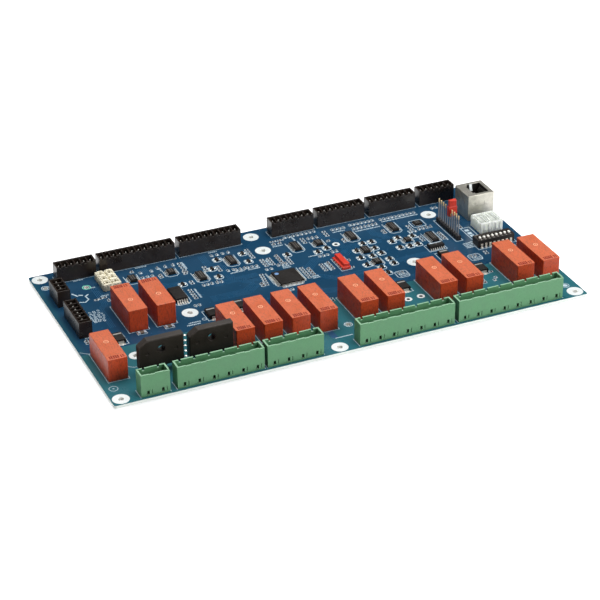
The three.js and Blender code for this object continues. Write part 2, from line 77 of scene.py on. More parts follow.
def nodes_named(start):
    """The CAD nodes whose names start so, in the order of their numbers."""
    found = [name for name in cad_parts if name.startswith(start)]
    return sorted(found, key=lambda name: (len(name), name))


def boxes(start):
    """The corners of each CAD node whose name starts so, as board places."""
    return [place_box(name) for name in nodes_named(start)]


# ---- Shapes ------------------------------------------------------------------------------------


class Shape:
    """Closed bodies in board places, each face with the number of its material."""

    def __init__(self):
        self.points = []
        self.faces = []
        self.finishes = []

    def loft(self, rings, finish=0, looped=False):
        """A body through rings of equally many points, with its ends closed or joined to each other."""
        first = len(self.points)
        old_faces = len(self.faces)
        sides = len(rings[0])
        starts = [first + level * sides for level in range(len(rings))]
        if looped:
            starts.append(first)
        else:
            self.faces.append([starts[0] + side for side in range(sides)][::-1])
            self.faces.append([starts[-1] + side for side in range(sides)])
        for low, high in zip(starts, starts[1:]):
            for side in range(sides):
                after = (side + 1) % sides
                self.faces.append([low + side, low + after, high + after, high + side])
        self.points.extend(point for ring in rings for point in ring)
        self.finishes.extend([finish] * (len(self.faces) - old_faces))

    def block(self, x0, x1, y0, y1, z0, z1):
        self.loft([rectangle(x0, x1, y0, y1, z) for z in (z0, z1)])

    def slab(self, x0, x1, y0, y1, z0, z1, edge):
        """A block whose top and upright edges are broken by a small chamfer."""
        inset = min(edge, (x1 - x0) / 5, (y1 - y0) / 5)
        rings = []
        for z, shrink in ((z0, 0), (z1 - inset, 0), (z1, inset)):
            rings.append(clipped_corners(x0 + shrink, x1 - shrink, y0 + shrink, y1 - shrink, z, inset))
        self.loft(rings)

    def extrude(self, outline, origin, across, up, depth):
        """An outline in the plane of two directions, made thick by the vector depth."""
        origin, across, up, depth = (Vector(v) for v in (origin, across, up, depth))
        near = [origin + across * a + up * b for a, b in outline]
        self.loft([near, [point + depth for point in near]])

    def turned(self, profile, x, y, sides=20, finish=0):
        """A round body on an upright axis. The profile is radius and height, from end to end."""
        self.loft([circle(x, y, z, radius, sides) for radius, z in profile], finish)

    def ring(self, x, y, inner, outer, z0, z1, sides=32, finish=0):
        profile = ((inner, z0), (outer, z0), (outer, z1), (inner, z1))
        self.loft([circle(x, y, z, radius, sides) for radius, z in profile], finish, looped=True)

    def line(self, path, width, z0, z1, closed=False):
        """A flat line of one width along a path, with mitred corners."""
        rings = []
        for (x, y), side in zip(path, steps_aside(path, width, closed)):
            left, right = (x + side.x, y + side.y), (x - side.x, y - side.y)
            rings.append([(*left, z0), (*right, z0), (*right, z1), (*left, z1)])
        self.loft(rings, looped=closed)

    def tube(self, path, radius, sides):
        """A round wire along a path of points."""
        points = [Vector(point) for point in path]
        rings = []
        for behind, point, ahead in zip(points[:1] + points, points, points[1:] + points[-1:]):
            way = (ahead - behind).normalized()
            across = way.cross(Vector((0.31, 0.17, 0.93))).normalized()
            over = way.cross(across)
            spokes = [across * math.cos(a) + over * math.sin(a) for a in angles(sides)]
            rings.append([point + spoke * radius for spoke in spokes])
        self.loft(rings)


def spaced(count, pitch):
    """Places of this many things in an even row about zero."""
    return [(index - (count - 1) / 2) * pitch for index in range(count)]


def angles(sides):
    return [2 * math.pi * side / sides for side in range(sides)]


def circle(x, y, z, radius, sides):
    return [(x + radius * math.cos(a), y + radius * math.sin(a), z) for a in angles(sides)]


def rectangle(x0, x1, y0, y1, z):
    return [(x0, y0, z), (x1, y0, z), (x1, y1, z), (x0, y1, z)]


def clipped_corners(x0, x1, y0, y1, z, clip):
    """A rectangle with its corners cut off."""
    return [
        (x0 + clip, y0, z), (x1 - clip, y0, z), (x1, y0 + clip, z), (x1, y1 - clip, z),
        (x1 - clip, y1, z), (x0 + clip, y1, z), (x0, y1 - clip, z), (x0, y0 + clip, z),
    ]


def steps_aside(path, width, closed=False):
    """The step from each corner of a path to the side of a line of this width."""
    corners = [Vector(corner) for corner in path]
    ways = [(after - here).normalized() for here, after in zip(corners, corners[1:] + corners[:1])]
    steps = []
    for index in range(len(corners)):
        meeting = [ways[index - 1], ways[index]]
        if not closed and index == 0:
            meeting = ways[:1]
        elif not closed and index == len(corners) - 1:
            meeting = ways[index - 1:index]
        total = sum((Vector((-way.y, way.x)) for way in meeting), Vector((0, 0)))
        reach = 1 if len(meeting) == 1 else 2 / max(total.length_squared, 0.5)
        steps.append(total * (width / 2 * reach))
    return steps


def rounded_path(x, y, half_side, radius, steps=4):
    """A closed path round a square with rounded corners."""
    middle = half_side - radius
    path = []
    for way_x, way_y, start in ((1, -1, -90), (1, 1, 0), (-1, 1, 90), (-1, -1, 180)):
        for step in range(steps + 1):
            a = math.radians(start + 90 * step / steps)
            centre_x, centre_y = x + way_x * middle, y + way_y * middle
            path.append((centre_x + radius * math.cos(a), centre_y + radius * math.sin(a)))
    return path


def place_object(name, data):
    """A new object, linked to the scene."""
    made = bpy.data.objects.new(name, data)
    bpy.context.scene.collection.objects.link(made)
    return made


def make(name, shape, finishes, slot, body=BOARD_BODY):
    """Turns a shape into a piece that rides on a body of the frame."""
    mesh = bpy.data.meshes.new(name)
    mesh.from_pydata([to_row(*point) for point in shape.points], [], shape.faces)
    for finish in finishes:
        mesh.materials.append(finish.material)
    mesh.polygons.foreach_set("material_index", shape.finishes)
    cleaner = bmesh.new()
    cleaner.from_mesh(mesh)
    bmesh.ops.recalc_face_normals(cleaner, faces=cleaner.faces)
    cleaner.to_mesh(mesh)
    cleaner.free()
    mesh.shade_smooth()
    mesh.set_sharp_from_angle(angle=math.radians(SHARP_ANGLE))
    piece = place_object(name, mesh)
    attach(piece, body)


# ---- Materials ---------------------------------------------------------------------------------


def tint(red, green, blue):
    """A colour as seen on a screen, 0 to 255, as the linear colour that a shader takes."""
    linear = []
    for part in (red, green, blue):
        share = part / 255
        linear.append(share / 12.92 if share <= 0.04045 else ((share + 0.055) / 1.055) ** 2.4)
    return (*linear, 1.0)


class Finish:
    """A material with short ways to add detail of a stated size to its shader."""

    def __init__(self, name, colour, roughness, metallic=0.0, specular=0.5):
        self.material = bpy.data.materials.new(name)
        self.material.use_nodes = True
        self.tree = self.material.node_tree
        self.inputs = self.tree.nodes["Principled BSDF"].inputs
        self.inputs["Metallic"].default_value = metallic
        self.inputs["Roughness"].default_value = roughness
        self.inputs["Specular IOR Level"].default_value = specular
        self.base = tint(*colour)
        self.inputs["Base Color"].default_value = self.base
        self.colour = None
        self.normal = None
        self.place = self.node("ShaderNodeTexCoord").outputs["Object"]

    def node(self, kind, **settings):
        made = self.tree.nodes.new(kind)
        for key, value in settings.items():
            setattr(made, key, value)
        return made

    def join(self, source, target):
        self.tree.links.new(source, target)

    def noise(self, size, detail=3.0, stretch=(1, 1, 1), offset=0.0):
        """Noise from 0 to 1 whose patches are about this many millimetres wide."""
        mapping = self.node("ShaderNodeMapping")
        mapping.inputs["Scale"].default_value = stretch
        mapping.inputs["Location"].default_value = (offset, offset, offset)
        self.join(self.place, mapping.inputs["Vector"])
        noise = self.node("ShaderNodeTexNoise")
        noise.inputs["Scale"].default_value = 1 / (size * MM)
        noise.inputs["Detail"].default_value = detail
        self.join(mapping.outputs[0], noise.inputs["Vector"])
        return noise.outputs["Fac"]

    def spread(self, source, low, high, start=0.3, end=0.7):
        """Maps a socket from one span of values to another."""
        node = self.node("ShaderNodeMapRange")
        for key, value in (("From Min", start), ("From Max", end), ("To Min", low), ("To Max", high)):
            node.inputs[key].default_value = value
        self.join(source, node.inputs["Value"])
        return node.outputs["Result"]

    def beyond(self, axis, start, end):
        """0 up to one board place along an axis, and 1 from the other on."""
        split = self.node("ShaderNodeSeparateXYZ")
        self.join(self.place, split.inputs[0])
        first, last = (to_row(at, at, at)["XYZ".index(axis)] for at in (start, end))
        return self.spread(split.outputs[axis], 0, 1, first, last)

    def facing_up(self):
        """1 on faces that look straight up, 0 on upright faces and -1 on undersides."""
        geometry = self.node("ShaderNodeNewGeometry")
        facing = self.node("ShaderNodeSeparateXYZ")
        self.join(geometry.outputs["Normal"], facing.inputs[0])
        return facing.outputs["Z"]

    def math(self, operation, first, second):
        node = self.node("ShaderNodeMath", operation=operation)
        for socket, value in zip(node.inputs, (first, second)):
            if isinstance(value, float):
                socket.default_value = value
            else:
                self.join(value, socket)
        return node.outputs[0]

    def blend_colour(self, share, colour):
        """Mixes a colour over what the material has so far."""
        mix = self.node("ShaderNodeMix", data_type="RGBA")
        factor, below, above = mix.inputs[0], mix.inputs[6], mix.inputs[7]
        self.join(share, factor)
        if self.colour is None:
            below.default_value = self.base
        else:
            self.join(self.colour, below)
        above.default_value = colour
        self.colour = mix.outputs[2]
        self.join(self.colour, self.inputs["Base Color"])

    def tone(self, source, share, colour, start=0.3, end=0.7):
        """Mixes in up to this share of a colour where a socket is high."""
        self.blend_colour(self.spread(source, 0, share, start, end), colour)

    def paint_corner_shade(self, reach, share):
        """Painted shade: darkens the colour where other faces stand within this many millimetres."""
        corners = self.node("ShaderNodeAmbientOcclusion", samples=8)
        corners.inputs["Distance"].default_value = reach * MM
        self.blend_colour(self.spread(corners.outputs["AO"], share, 0, 0.15, 0.75), shade(self.base, 0.2))

    def paint_top_lighting(self, colour, share):
        """Painted lighting on the faces that look up: a colour mixed in, paler for a painted highlight,
        darker for painted shade.
        """
        self.tone(self.facing_up(), share, colour, 0.5, 1.0)

    def drive(self, key, source, low, high, start=0.3, end=0.7):
        """Lets a socket set one of the shader's values."""
        self.join(self.spread(source, low, high, start, end), self.inputs[key])

    def bump(self, source, depth):
        """Adds relief of this depth in millimetres."""
        bump = self.node("ShaderNodeBump")
        bump.inputs["Distance"].default_value = depth * MM
        bump.inputs["Strength"].default_value = 1.0
        self.join(source, bump.inputs["Height"])
        if self.normal is not None:
            self.join(self.normal, bump.inputs["Normal"])
        self.normal = bump.outputs["Normal"]
        self.join(self.normal, self.inputs["Normal"])


def shade(colour, factor):
    return (*(min(part * factor, 1.0) for part in colour[:3]), 1.0)


def moulded_plastic(name, colour, roughness, grain=0.35, relief=0.02, mottle=0.12, gloss_step=0.1):
    """Moulded plastic: faint flow mottling, spark-eroded grain, and gloss that varies over it."""
    finish = Finish(name, colour, roughness)
    flow = finish.noise(5, detail=4)
    fine = finish.noise(0.8, detail=2, offset=3.1)
    finish.tone(flow, 1, shade(finish.base, 1 + mottle))
    finish.tone(fine, 0.5, shade(finish.base, 1 - mottle), 0.45, 0.75)
    finish.drive("Roughness", flow, roughness - gloss_step, roughness + gloss_step)
    finish.bump(finish.noise(grain, detail=2), relief)
    return finish


def relay_plastic():
    """Orange case plastic: coarse grain drawn out along the case, painted shade in its corners, and a
    painted highlight on its top.
    """
    finish = moulded_plastic("relay_orange", (188, 66, 24), 0.42, grain=0.3, mottle=0.1)
    streaks = finish.noise(0.6, stretch=(1, 0.4, 0.4), offset=1.7)
    finish.tone(streaks, 0.7, shade(finish.base, 0.5), 0.48, 0.68)
    finish.bump(streaks, 0.06)
    # Painted shade in the corners, and a painted highlight on the top.
    finish.paint_corner_shade(7, 0.55)
    finish.paint_top_lighting(tint(218, 192, 152), 0.14)
    return finish


def header_plastic():
    """Green header plastic, with painted shade in its corners and a painted highlight on its tops and rims.
    """
    finish = moulded_plastic("header_green", (86, 138, 98), 0.5, grain=0.3)
    # Painted shade in the corners, and a painted highlight on the tops and rims.
    finish.paint_corner_shade(5, 0.75)
    finish.paint_top_lighting(tint(190, 220, 196), 0.3)
    return finish


def milky_nylon():
    """White nylon that light spreads in, over a few millimetres, with painted shade darkening its tops."""
    finish = moulded_plastic("white_nylon", (230, 236, 227), 0.45, grain=0.5, relief=0.03, mottle=0.1)
    finish.inputs["Subsurface Weight"].default_value = 0.9
    finish.inputs["Subsurface Radius"].default_value = (1.0, 1.0, 0.9)
    finish.inputs["Subsurface Scale"].default_value = 4 * MM
    # Painted shade: the tops darkened towards grey.
    finish.paint_top_lighting(tint(96, 102, 96), 0.5)
    return finish


def plated_metal(name, colour, roughness, ripple=0.5, relief=0.01, stretch=(1, 1, 1), metallic=1.0):
    """Plated sheet or solder: soft ripples, tarnish patches and fine scratches."""
    finish = Finish(name, colour, roughness, metallic)
    patches = finish.noise(3, detail=4)
    scratches = finish.noise(0.3, stretch=stretch)
    finish.tone(patches, 1, shade(finish.base, 0.8))
    finish.drive("Roughness", scratches, roughness - 0.08, roughness + 0.12)
    finish.bump(finish.noise(ripple, detail=2), relief)
    return finish


def solder_mask():
    """Blue mask over copper planes, teal where the laminate is bare, with pale cut edges."""
    finish = Finish("solder_mask", (18, 58, 86), 0.3, specular=0.3)
    weave = finish.noise(0.7, detail=2, stretch=(1, 3, 1))
    cloud = finish.noise(26)
    finish.tone(cloud, 0.5, tint(24, 69, 97))
    finish.blend_colour(bare_laminate(finish), tint(40, 100, 109))
    finish.tone(weave, 0.2, shade(finish.base, 0.6))
    upright = finish.math("ABSOLUTE", finish.facing_up(), 0.0)
    edge = finish.math("LESS_THAN", upright, 0.5)
    finish.blend_colour(edge, tint(236, 243, 238))
    finish.drive("Roughness", cloud, 0.24, 0.38)
    finish.bump(weave, 0.006)
    return finish


def bare_laminate(finish):
    """1 where no copper plane lies under the mask: the front band, and fainter at the left margin."""
    front = finish.math("SUBTRACT", 1.0, finish.beyond("Y", PLANE_FRONT - 0.5, PLANE_FRONT))
    left = finish.math("SUBTRACT", 0.35, finish.beyond("X", PLANE_LEFT - 4, PLANE_LEFT + 4))
    return finish.math("MAXIMUM", front, left)


def printed_white():
    """White printing ink: slightly uneven, with the blue mask showing through thin spots."""
    finish = Finish("printed_white", (178, 196, 204), 0.6)
    thin = finish.noise(0.5)
    finish.tone(thin, 0.7, tint(100, 130, 150), 0.45, 0.75)
    finish.bump(thin, 0.01)
    return finish


def tinned_pad():
    """Hot-air-levelled tin round the mounting holes: bright, soft and slightly wavy."""
    finish = Finish("tinned_pad", (228, 236, 236), 0.45, metallic=0.3)
    wave = finish.noise(1.6)
    finish.tone(wave, 0.7, tint(220, 222, 220))
    finish.drive("Roughness", wave, 0.35, 0.55)
    finish.bump(wave, 0.04)
    return finish


def moulded_epoxy():
    """Black moulding compound: glassy flecks and a satin, finely pitted skin."""
    finish = Finish("chip_epoxy", (18, 14, 11), 0.55, specular=0.35)
    flecks = finish.noise(0.22, detail=2)
    haze = finish.noise(5)
    finish.tone(flecks, 0.5, shade(finish.base, 3.0), 0.62, 0.8)
    finish.drive("Roughness", haze, 0.45, 0.67)
    finish.bump(flecks, 0.012)
    return finish


def strip_with_pins(base_top, tip_start):
    """Black plastic below a height, grey pins above it, and gilded tips at the very top."""
    finish = Finish("pin_strip_black", (28, 24, 22), 0.5)
    pins = finish.beyond("Z", base_top, base_top + 0.05)
    tips = finish.beyond("Z", tip_start, tip_start + 1)
    fine = finish.noise(0.4, detail=2)
    finish.tone(fine, 0.3, shade(finish.base, 1.6), 0.5, 0.8)
    finish.blend_colour(pins, tint(150, 152, 156))
    finish.blend_colour(tips, tint(250, 222, 168))
    finish.drive("Metallic", pins, 0, 0.45, 0, 1)
    finish.drive("Roughness", pins, 0.5, 0.36, 0, 1)
    finish.bump(fine, 0.01)
    return finish


def slab_with_legs(level):
    """Epoxy above a height and tinned leads below it, for a rectifier cast with its legs, with a faint
    painted highlight on its tops.
    """
    finish = Finish("rectifier_epoxy", (40, 34, 29), 0.42, specular=0.25)
    legs = finish.math("SUBTRACT", 1.0, finish.beyond("Z", level - 0.05, level))
    flecks = finish.noise(0.25, detail=2)
    haze = finish.noise(6)
    finish.tone(haze, 0.5, shade(finish.base, 1.5))
    finish.tone(flecks, 0.4, shade(finish.base, 3.0), 0.62, 0.8)
    finish.blend_colour(legs, tint(205, 203, 196))
    finish.join(legs, finish.inputs["Metallic"])
    # Painted highlight: the top faces a little paler.
    finish.paint_top_lighting(tint(190, 190, 190), 0.05)
    finish.drive("Roughness", haze, 0.36, 0.52)
    finish.bump(flecks, 0.015)
    return finish


def body_with_side_legs(front, rear):
    """A black body whose leads stand out past its front and rear faces."""
    finish = Finish("dip_black", (34, 28, 24), 0.42, specular=0.4)
    before = finish.math("SUBTRACT", 1.0, finish.beyond("Y", front - 0.03, front - 0.02))
    behind = finish.beyond("Y", rear + 0.02, rear + 0.03)
    legs = finish.math("MAXIMUM", before, behind)
    fine = finish.noise(0.3, detail=2)
    finish.tone(fine, 0.4, shade(finish.base, 2.0), 0.5, 0.8)
    finish.blend_colour(legs, tint(228, 222, 204))
    finish.drive("Metallic", legs, 0, 0.5, 0, 1)
    finish.bump(fine, 0.01)
    return finish


# Where the copper planes and the DIP switch's moulding end, as board places.
PLANE_FRONT = 50.5
PLANE_LEFT = 5.2
DIP_FRONT = 67.4
DIP_REAR = 74.4

MASK = solder_mask()
TRACK = moulded_plastic("mask_over_copper", (22, 74, 108), 0.34, grain=0.5, relief=0.004, mottle=0.15)
INK = printed_white()
PAD = tinned_pad()
SOLDER = plated_metal("solder", (232, 230, 222), 0.28, ripple=0.6, relief=0.04, metallic=0.6)
LEAD = plated_metal("tinned_lead", (214, 212, 204), 0.36, metallic=0.55)
CHIP_CAP = plated_metal("chip_end_metal", (186, 200, 212), 0.4, metallic=0.4)
GOLD = plated_metal("gold_flash", (226, 186, 112), 0.3, metallic=0.7)
SHEET = plated_metal("tinned_sheet", (206, 203, 192), 0.34, ripple=3, relief=0.06, metallic=0.78)
STEEL = plated_metal("plated_iron", (165, 167, 168), 0.32, ripple=1)
COPPER = plated_metal("enamelled_copper", (186, 104, 52), 0.35, ripple=0.3, relief=0.05, stretch=(1, 6, 1))
RELAY = relay_plastic()
# The moulding ring is coloured paler than the case: a painted highlight.
RELAY_RING_HIGHLIGHT = moulded_plastic("relay_ring_highlight", (238, 176, 140), 0.4, grain=0.3)
RELAY_MARK = moulded_plastic("relay_mark", (122, 32, 12), 0.8, grain=0.3)
RELAY_BASE = moulded_plastic("relay_base", (120, 54, 30), 0.6)
GREEN = header_plastic()
BLACK = moulded_plastic("header_black", (32, 24, 19), 0.3, grain=0.3, relief=0.012, mottle=0.35,
                        gloss_step=0.06)
EPOXY = moulded_epoxy()
JACK_PLASTIC = moulded_plastic("jack_black", (22, 19, 17), 0.6)
JACK_SPRING = plated_metal("contact_spring", (128, 126, 120), 0.35)
NYLON = milky_nylon()
KNOB = moulded_plastic("slider_white", (226, 226, 218), 0.4, grain=0.4, relief=0.01, mottle=0.04)
RED = moulded_plastic("jumper_red", (194, 52, 34), 0.42, relief=0.015, mottle=0.14)
CREAM = moulded_plastic("terminal_cream", (220, 214, 192), 0.4, grain=0.4, relief=0.012)
CERAMIC_BLACK = moulded_plastic("resistor_glaze", (38, 36, 36), 0.35, grain=0.2, relief=0.01)
CERAMIC_TAN = moulded_plastic("capacitor_ceramic", (96, 84, 74), 0.42, grain=0.2, relief=0.012)
CHIP_MARK = moulded_plastic("chip_marking", (86, 82, 78), 0.6, grain=0.3, relief=0.004)
PALE_MARK = moulded_plastic("pale_marking", (140, 138, 134), 0.6, grain=0.3, relief=0.004)
BLUE_DOT = moulded_plastic("chip_sticker", (104, 140, 184), 0.5)
# The bores are near white: a painted highlight for the lit floor seen through the holes.
BRIGHT_BORE = plated_metal("bore_painted_bright", (250, 251, 246), 0.5, metallic=0.0)
MINT = moulded_plastic("bare_ring", (120, 206, 176), 0.4, relief=0.005)
PIN_STRIP = strip_with_pins(base_top=2.56, tip_start=11.8)
RECTIFIER = slab_with_legs(level=3.45)
DIP_BODY = body_with_side_legs(DIP_FRONT, DIP_REAR)


# ---- CAD nodes: edges and materials --------------------------------------------------------------


def dress(name, finish, edge, steps):
    """Gives a CAD node its material, and soft moulded edges without touching its mesh."""
    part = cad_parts[name]
    part.material_slots[0].material = finish.material
    weld = part.modifiers.new("join_corners", "WELD")
    weld.merge_threshold = 0.002 * MM
    flat = part.modifiers.new("merge_flat_faces", "DECIMATE")
    flat.decimate_type = "DISSOLVE"
    flat.angle_limit = math.radians(1)
    bevel = part.modifiers.new("soft_edges", "BEVEL")
    bevel.width = edge * MM
    bevel.segments = steps
    bevel.limit_method = "ANGLE"
    bevel.angle_limit = math.radians(BEVEL_ANGLE)
    bevel.harden_normals = False
    normals = part.modifiers.new("smooth_edges", "WEIGHTED_NORMAL")
    normals.weight = 100


# Which CAD nodes get which finish: the start of their names, the finish, the width of their soft
# edges, and the steps of each edge.
DRESSES = [
    ("circuit_board", MASK, 0.08, 1), ("relay_case", RELAY, 0.35, 3), ("relay_1_base", RELAY_BASE, 0.12, 2),
    ("relay_1_coil", COPPER, 0.1, 2), ("relay_1_yoke", STEEL, 0.1, 2), ("relay_1_armature", STEEL, 0.1, 2),
    ("relay_1_contact_blade", LEAD, 0.05, 2), ("power_header", GREEN, 0.1, 2),
    ("signal_header", BLACK, 0.1, 2), ("side_header", BLACK, 0.1, 2),
    ("bridge_rectifier", RECTIFIER, 0.12, 2), ("ethernet_jack_shell", SHEET, 0.18, 3),
    ("ethernet_jack_insert", JACK_PLASTIC, 0.15, 2),
    ("cable_header", NYLON, 0.22, 3), ("dip_switch_body", DIP_BODY, 0.12, 2), ("dip_slider", KNOB, 0.12, 2),
    ("pin_strip", PIN_STRIP, 0.08, 1), ("parked_jumper", RED, 0.25, 3), ("link_block", RED, 0.3, 3),
    ("wire_block", CREAM, 0.18, 2), ("microcontroller", EPOXY, 0.1, 2), ("regulator", EPOXY, 0.1, 2),
    ("power_diode", EPOXY, 0.1, 2),
]


def dress_frame():
    for start, finish, edge, steps in DRESSES:
        for name in nodes_named(start):
            dress(name, finish, edge, steps)


# ---- Printed lines and pads ----------------------------------------------------------------------

SUNK = -0.01             # thin prints start this far down in what they lie on
INK_TOP = 0.035
INK_WIDTH = 0.34
PAD_TOP = 0.045


def ink_line(ink, path, width=INK_WIDTH, closed=False):
    ink.line(path, width, SUNK, INK_TOP, closed)


def ink_box(ink, x0, x1, y0, y1, width=INK_WIDTH):
    ink_line(ink, [(x0, y0), (x1, y0), (x1, y1), (x0, y1)], width, closed=True)


def ink_round_box(ink, x, y, half_side, radius, width):
    ink_line(ink, rounded_path(x, y, half_side, radius), width, closed=True)


def ink_cradle(ink, x, y, half_width, half_length, width):
    """The U-shaped line round a chip, open at the rear, with cut corners in front."""
    cut = half_width * 0.45
    front = y - half_length
    path = [(x - half_width, y + half_length), (x - half_width, front + cut), (x - half_width + cut, front),
            (x + half_width - cut, front), (x + half_width, front + cut), (x + half_width, y + half_length)]
    ink_line(ink, path, width)


def ink_words(ink, draw, x, y, width, rows, upright):
    """Rows of short bars that stand for printed references, without any letters."""
    row_height = 1.1
    for row in range(rows):
        along = 0.0
        while along < width:
            bar = draw.uniform(0.35, 0.75)
            low = row * (row_height + 0.5)
            high = low + row_height * draw.uniform(0.75, 1.0)
            if upright:
                ink.block(x + low, x + high, y + along, y + along + bar, SUNK, INK_TOP)
            else:
                ink.block(x + along, x + along + bar, y + low, y + high, SUNK, INK_TOP)
            along += bar + draw.uniform(0.22, 0.4)


# Printed boxes round the large parts: the start of their names, the gaps at the sides, in front and
# behind, and the width of the line.
PRINTED_BOXES = [
    ("relay_case", 0.45, 0.45, 0.45, INK_WIDTH), ("signal_header", 0.4, 0.5, 0.5, 0.25),
    ("power_diode", 0.7, 1.3, 1.3, INK_WIDTH), ("pin_strip", 0.8, 0.8, 0.8, 0.4),
    ("dip_switch_body", 0.5, 1.4, 1.2, INK_WIDTH), ("link_block", 0.5, 0.5, 0.5, INK_WIDTH),
]


def outline_parts(ink):
    """Lines round the feet of the large parts."""
    for start, beside, front, rear, width in PRINTED_BOXES:
        for low, high in boxes(start):
            rear_edge = min(high.y + rear, DEPTH - 0.6)
            ink_box(ink, low.x - beside, high.x + beside, low.y - front, rear_edge, width)
    for low, high in boxes("power_header"):
        for x in (low.x - 0.3, high.x + 0.3):
            ink_line(ink, [(x, high.y + 0.4), (x, low.y - 0.2)])
    for name, half_width, forward in (("microcontroller", 8.6, 0), ("regulator", 4.6, 1)):
        low, high = place_box(name)
        middle = (low + high) / 2
        ink_cradle(ink, middle.x, middle.y - forward, half_width, 8.6, 0.4)


# A rim's points lie closer together than the first, and holes smaller than the second are for tooling.
RIM_REACH = 3.5
TOOLING_RADIUS = 1.4


def mounting_holes():
    """Places and radii of the mounting and tooling holes, read from the board's own rims."""
    inside = []
    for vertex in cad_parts["circuit_board"].data.vertices:
        x = (vertex.co.x - board_low.x) / MM
        y = (vertex.co.y - board_low.y) / MM
        if 2 < x < LENGTH - 2 and 2 < y < DEPTH - 2:
            inside.append(Vector((x, y)))
    holes = []
    while inside:
        first = inside[0]
        rim = [point for point in inside if (point - first).length < RIM_REACH]
        inside = [point for point in inside if (point - first).length >= RIM_REACH]
        x0, x1 = min(p.x for p in rim), max(p.x for p in rim)
        y0, y1 = min(p.y for p in rim), max(p.y for p in rim)
        holes.append(((x0 + x1) / 2, (y0 + y1) / 2, (x1 - x0) / 2))
    return holes


def add_pads():
    """Tinned rings and bores of the holes, printed test marks, and small bare rings. The bores are near
    white, a painted highlight for the lit floor seen through the holes; three small tinned rings hold a
    flat black disc, painted shade where a hole shows dark.
    """
    tin, white, bore, bare, black = range(5)
    pads = Shape()
    for x, y, radius in mounting_holes():
        second_from_left = 20 < x < 30
        if radius > TOOLING_RADIUS:
            outer = 3.6 if second_from_left else 4.3
            pads.ring(x, y, radius + 0.02, outer, SUNK, PAD_TOP, 48)
            pads.ring(x, y, radius + 0.02, outer, UNDERSIDE - PAD_TOP, UNDERSIDE - SUNK, 48)
        else:
            pads.ring(x, y, 1.85, 2.3, SUNK, PAD_TOP, 48, bare if second_from_left else white)
        # The bore wall is painted bright, as the lit floor seen through the hole.
        pads.ring(x, y, radius - 0.12, radius + 0.05, UNDERSIDE - 0.02, 0.02, 32, bore)
    for x, y, filled in ((4.8, 15.1, 0.5), (253.9, 12.4, 1.3)):
        pads.turned([(filled, SUNK), (filled, PAD_TOP)], x, y, 24, white)
        pads.ring(x, y, 2.0, 2.3, SUNK, INK_TOP, 32, white)
    for x, y in ((164, 103.7), (180.2, 33.8), (172.8, 33.6)):
        pads.ring(x, y, 1.0, 2.1, SUNK, PAD_TOP, 32, tin)
        # A flat black disc: painted shade where the hole shows dark.
        pads.turned([(1.02, SUNK), (1.02, -SUNK)], x, y, 20, black)
    make("tinned_pads", pads, [PAD, INK, BRIGHT_BORE, MINT, EPOXY], "tinned_metal")


# ---- Small chips ---------------------------------------------------------------------------------

MARK_TOP = 0.012         # how far the print on a chip stands out
FINE_PITCH = 2.54
CHIP_PITCH = 1.27
LEAD_WIDTH = 0.42
LEAD_THICKNESS = 0.18
LEAD_REACH = 1.05


def soldered_lead(parts, x, y, out, shoulder, reach=LEAD_REACH, width=LEAD_WIDTH):
    gull_wing(parts["leads"], x, y, out, shoulder, reach, width)
    lead_pad(parts["pads"], x, y, out, reach, width)


def gull_wing(leads, x, y, out, shoulder, reach, width=LEAD_WIDTH):
    """One bent lead: out of the body at shoulder height, down, and flat on its pad."""
    across = Vector((-out[1], out[0], 0))
    t = LEAD_THICKNESS
    outline = [(-0.1, shoulder), (reach * 0.35, shoulder), (reach * 0.55, t), (reach, t), (reach, 0),
               (reach * 0.45, 0), (reach * 0.25, shoulder - t), (-0.1, shoulder - t)]
    origin = Vector((x, y, 0.03)) - across * (width / 2)
    leads.extrude(outline, origin, (*out, 0), (0, 0, 1), across * width)


def lead_pad(pads, x, y, out, reach, width):
    """The soldered pad under a lead's foot, which reaches past its toe."""
    centre_x = x + out[0] * reach * 0.85
    centre_y = y + out[1] * reach * 0.85
    long_half, short_half = reach * 0.55, width * 0.62
    half_x, half_y = (long_half, short_half) if out[0] else (short_half, long_half)
    pads.slab(centre_x - half_x, centre_x + half_x, centre_y - half_y, centre_y + half_y, SUNK, 0.07, 0.04)


def chip_body(bodies, x, y, width, length, height, lift=0.1, taper=0.14):
    """A moulded body with draft on all sides and a parting line at half height."""
    w, l = width / 2, length / 2
    middle = lift + height * 0.5
    rings = []
    for z, inset in ((lift, taper), (middle - 0.05, 0.02), (middle + 0.05, 0.02), (lift + height, taper)):
        rings.append(clipped_corners(x - w + inset, x + w - inset, y - l + inset, y + l - inset, z, 0.06))
    bodies.loft(rings)
    return lift + height


def chip_marks(marks, draw, x, y, width, length, top):
    """Faint rows of bars for the maker's print, and the dot that marks the first lead."""
    low, high = top + SUNK, top + MARK_TOP
    rows = max(1, int(width / 1.6))
    for across in spaced(rows, 1.2):
        along = -length * 0.34
        while along < length * 0.34:
            bar = draw.uniform(0.4, 0.9)
            marks.block(x + across - 0.32, x + across + 0.32, y + along, y + along + bar, low, high)
            along += bar + 0.35
    marks.turned([(0.3, low), (0.3, high)], x - width * 0.28, y + length * 0.4, 12)


def outline_chip(parts, draw, x, y, width, length, leads_a_side, height=1.45):
    """A small-outline chip that lies along Y, with bent leads on its long sides."""
    top = chip_body(parts["bodies"], x, y, width, length, height)
    for side in (-1, 1):
        for step in spaced(leads_a_side, CHIP_PITCH):
            soldered_lead(parts, x + side * width / 2, y + step, (side, 0), height * 0.55)
    chip_marks(parts["marks"], draw, x, y, width, length, top)
    ink_cradle(parts["ink"], x, y, width / 2 + 1.75, length / 2 + 1.7, 0.36)


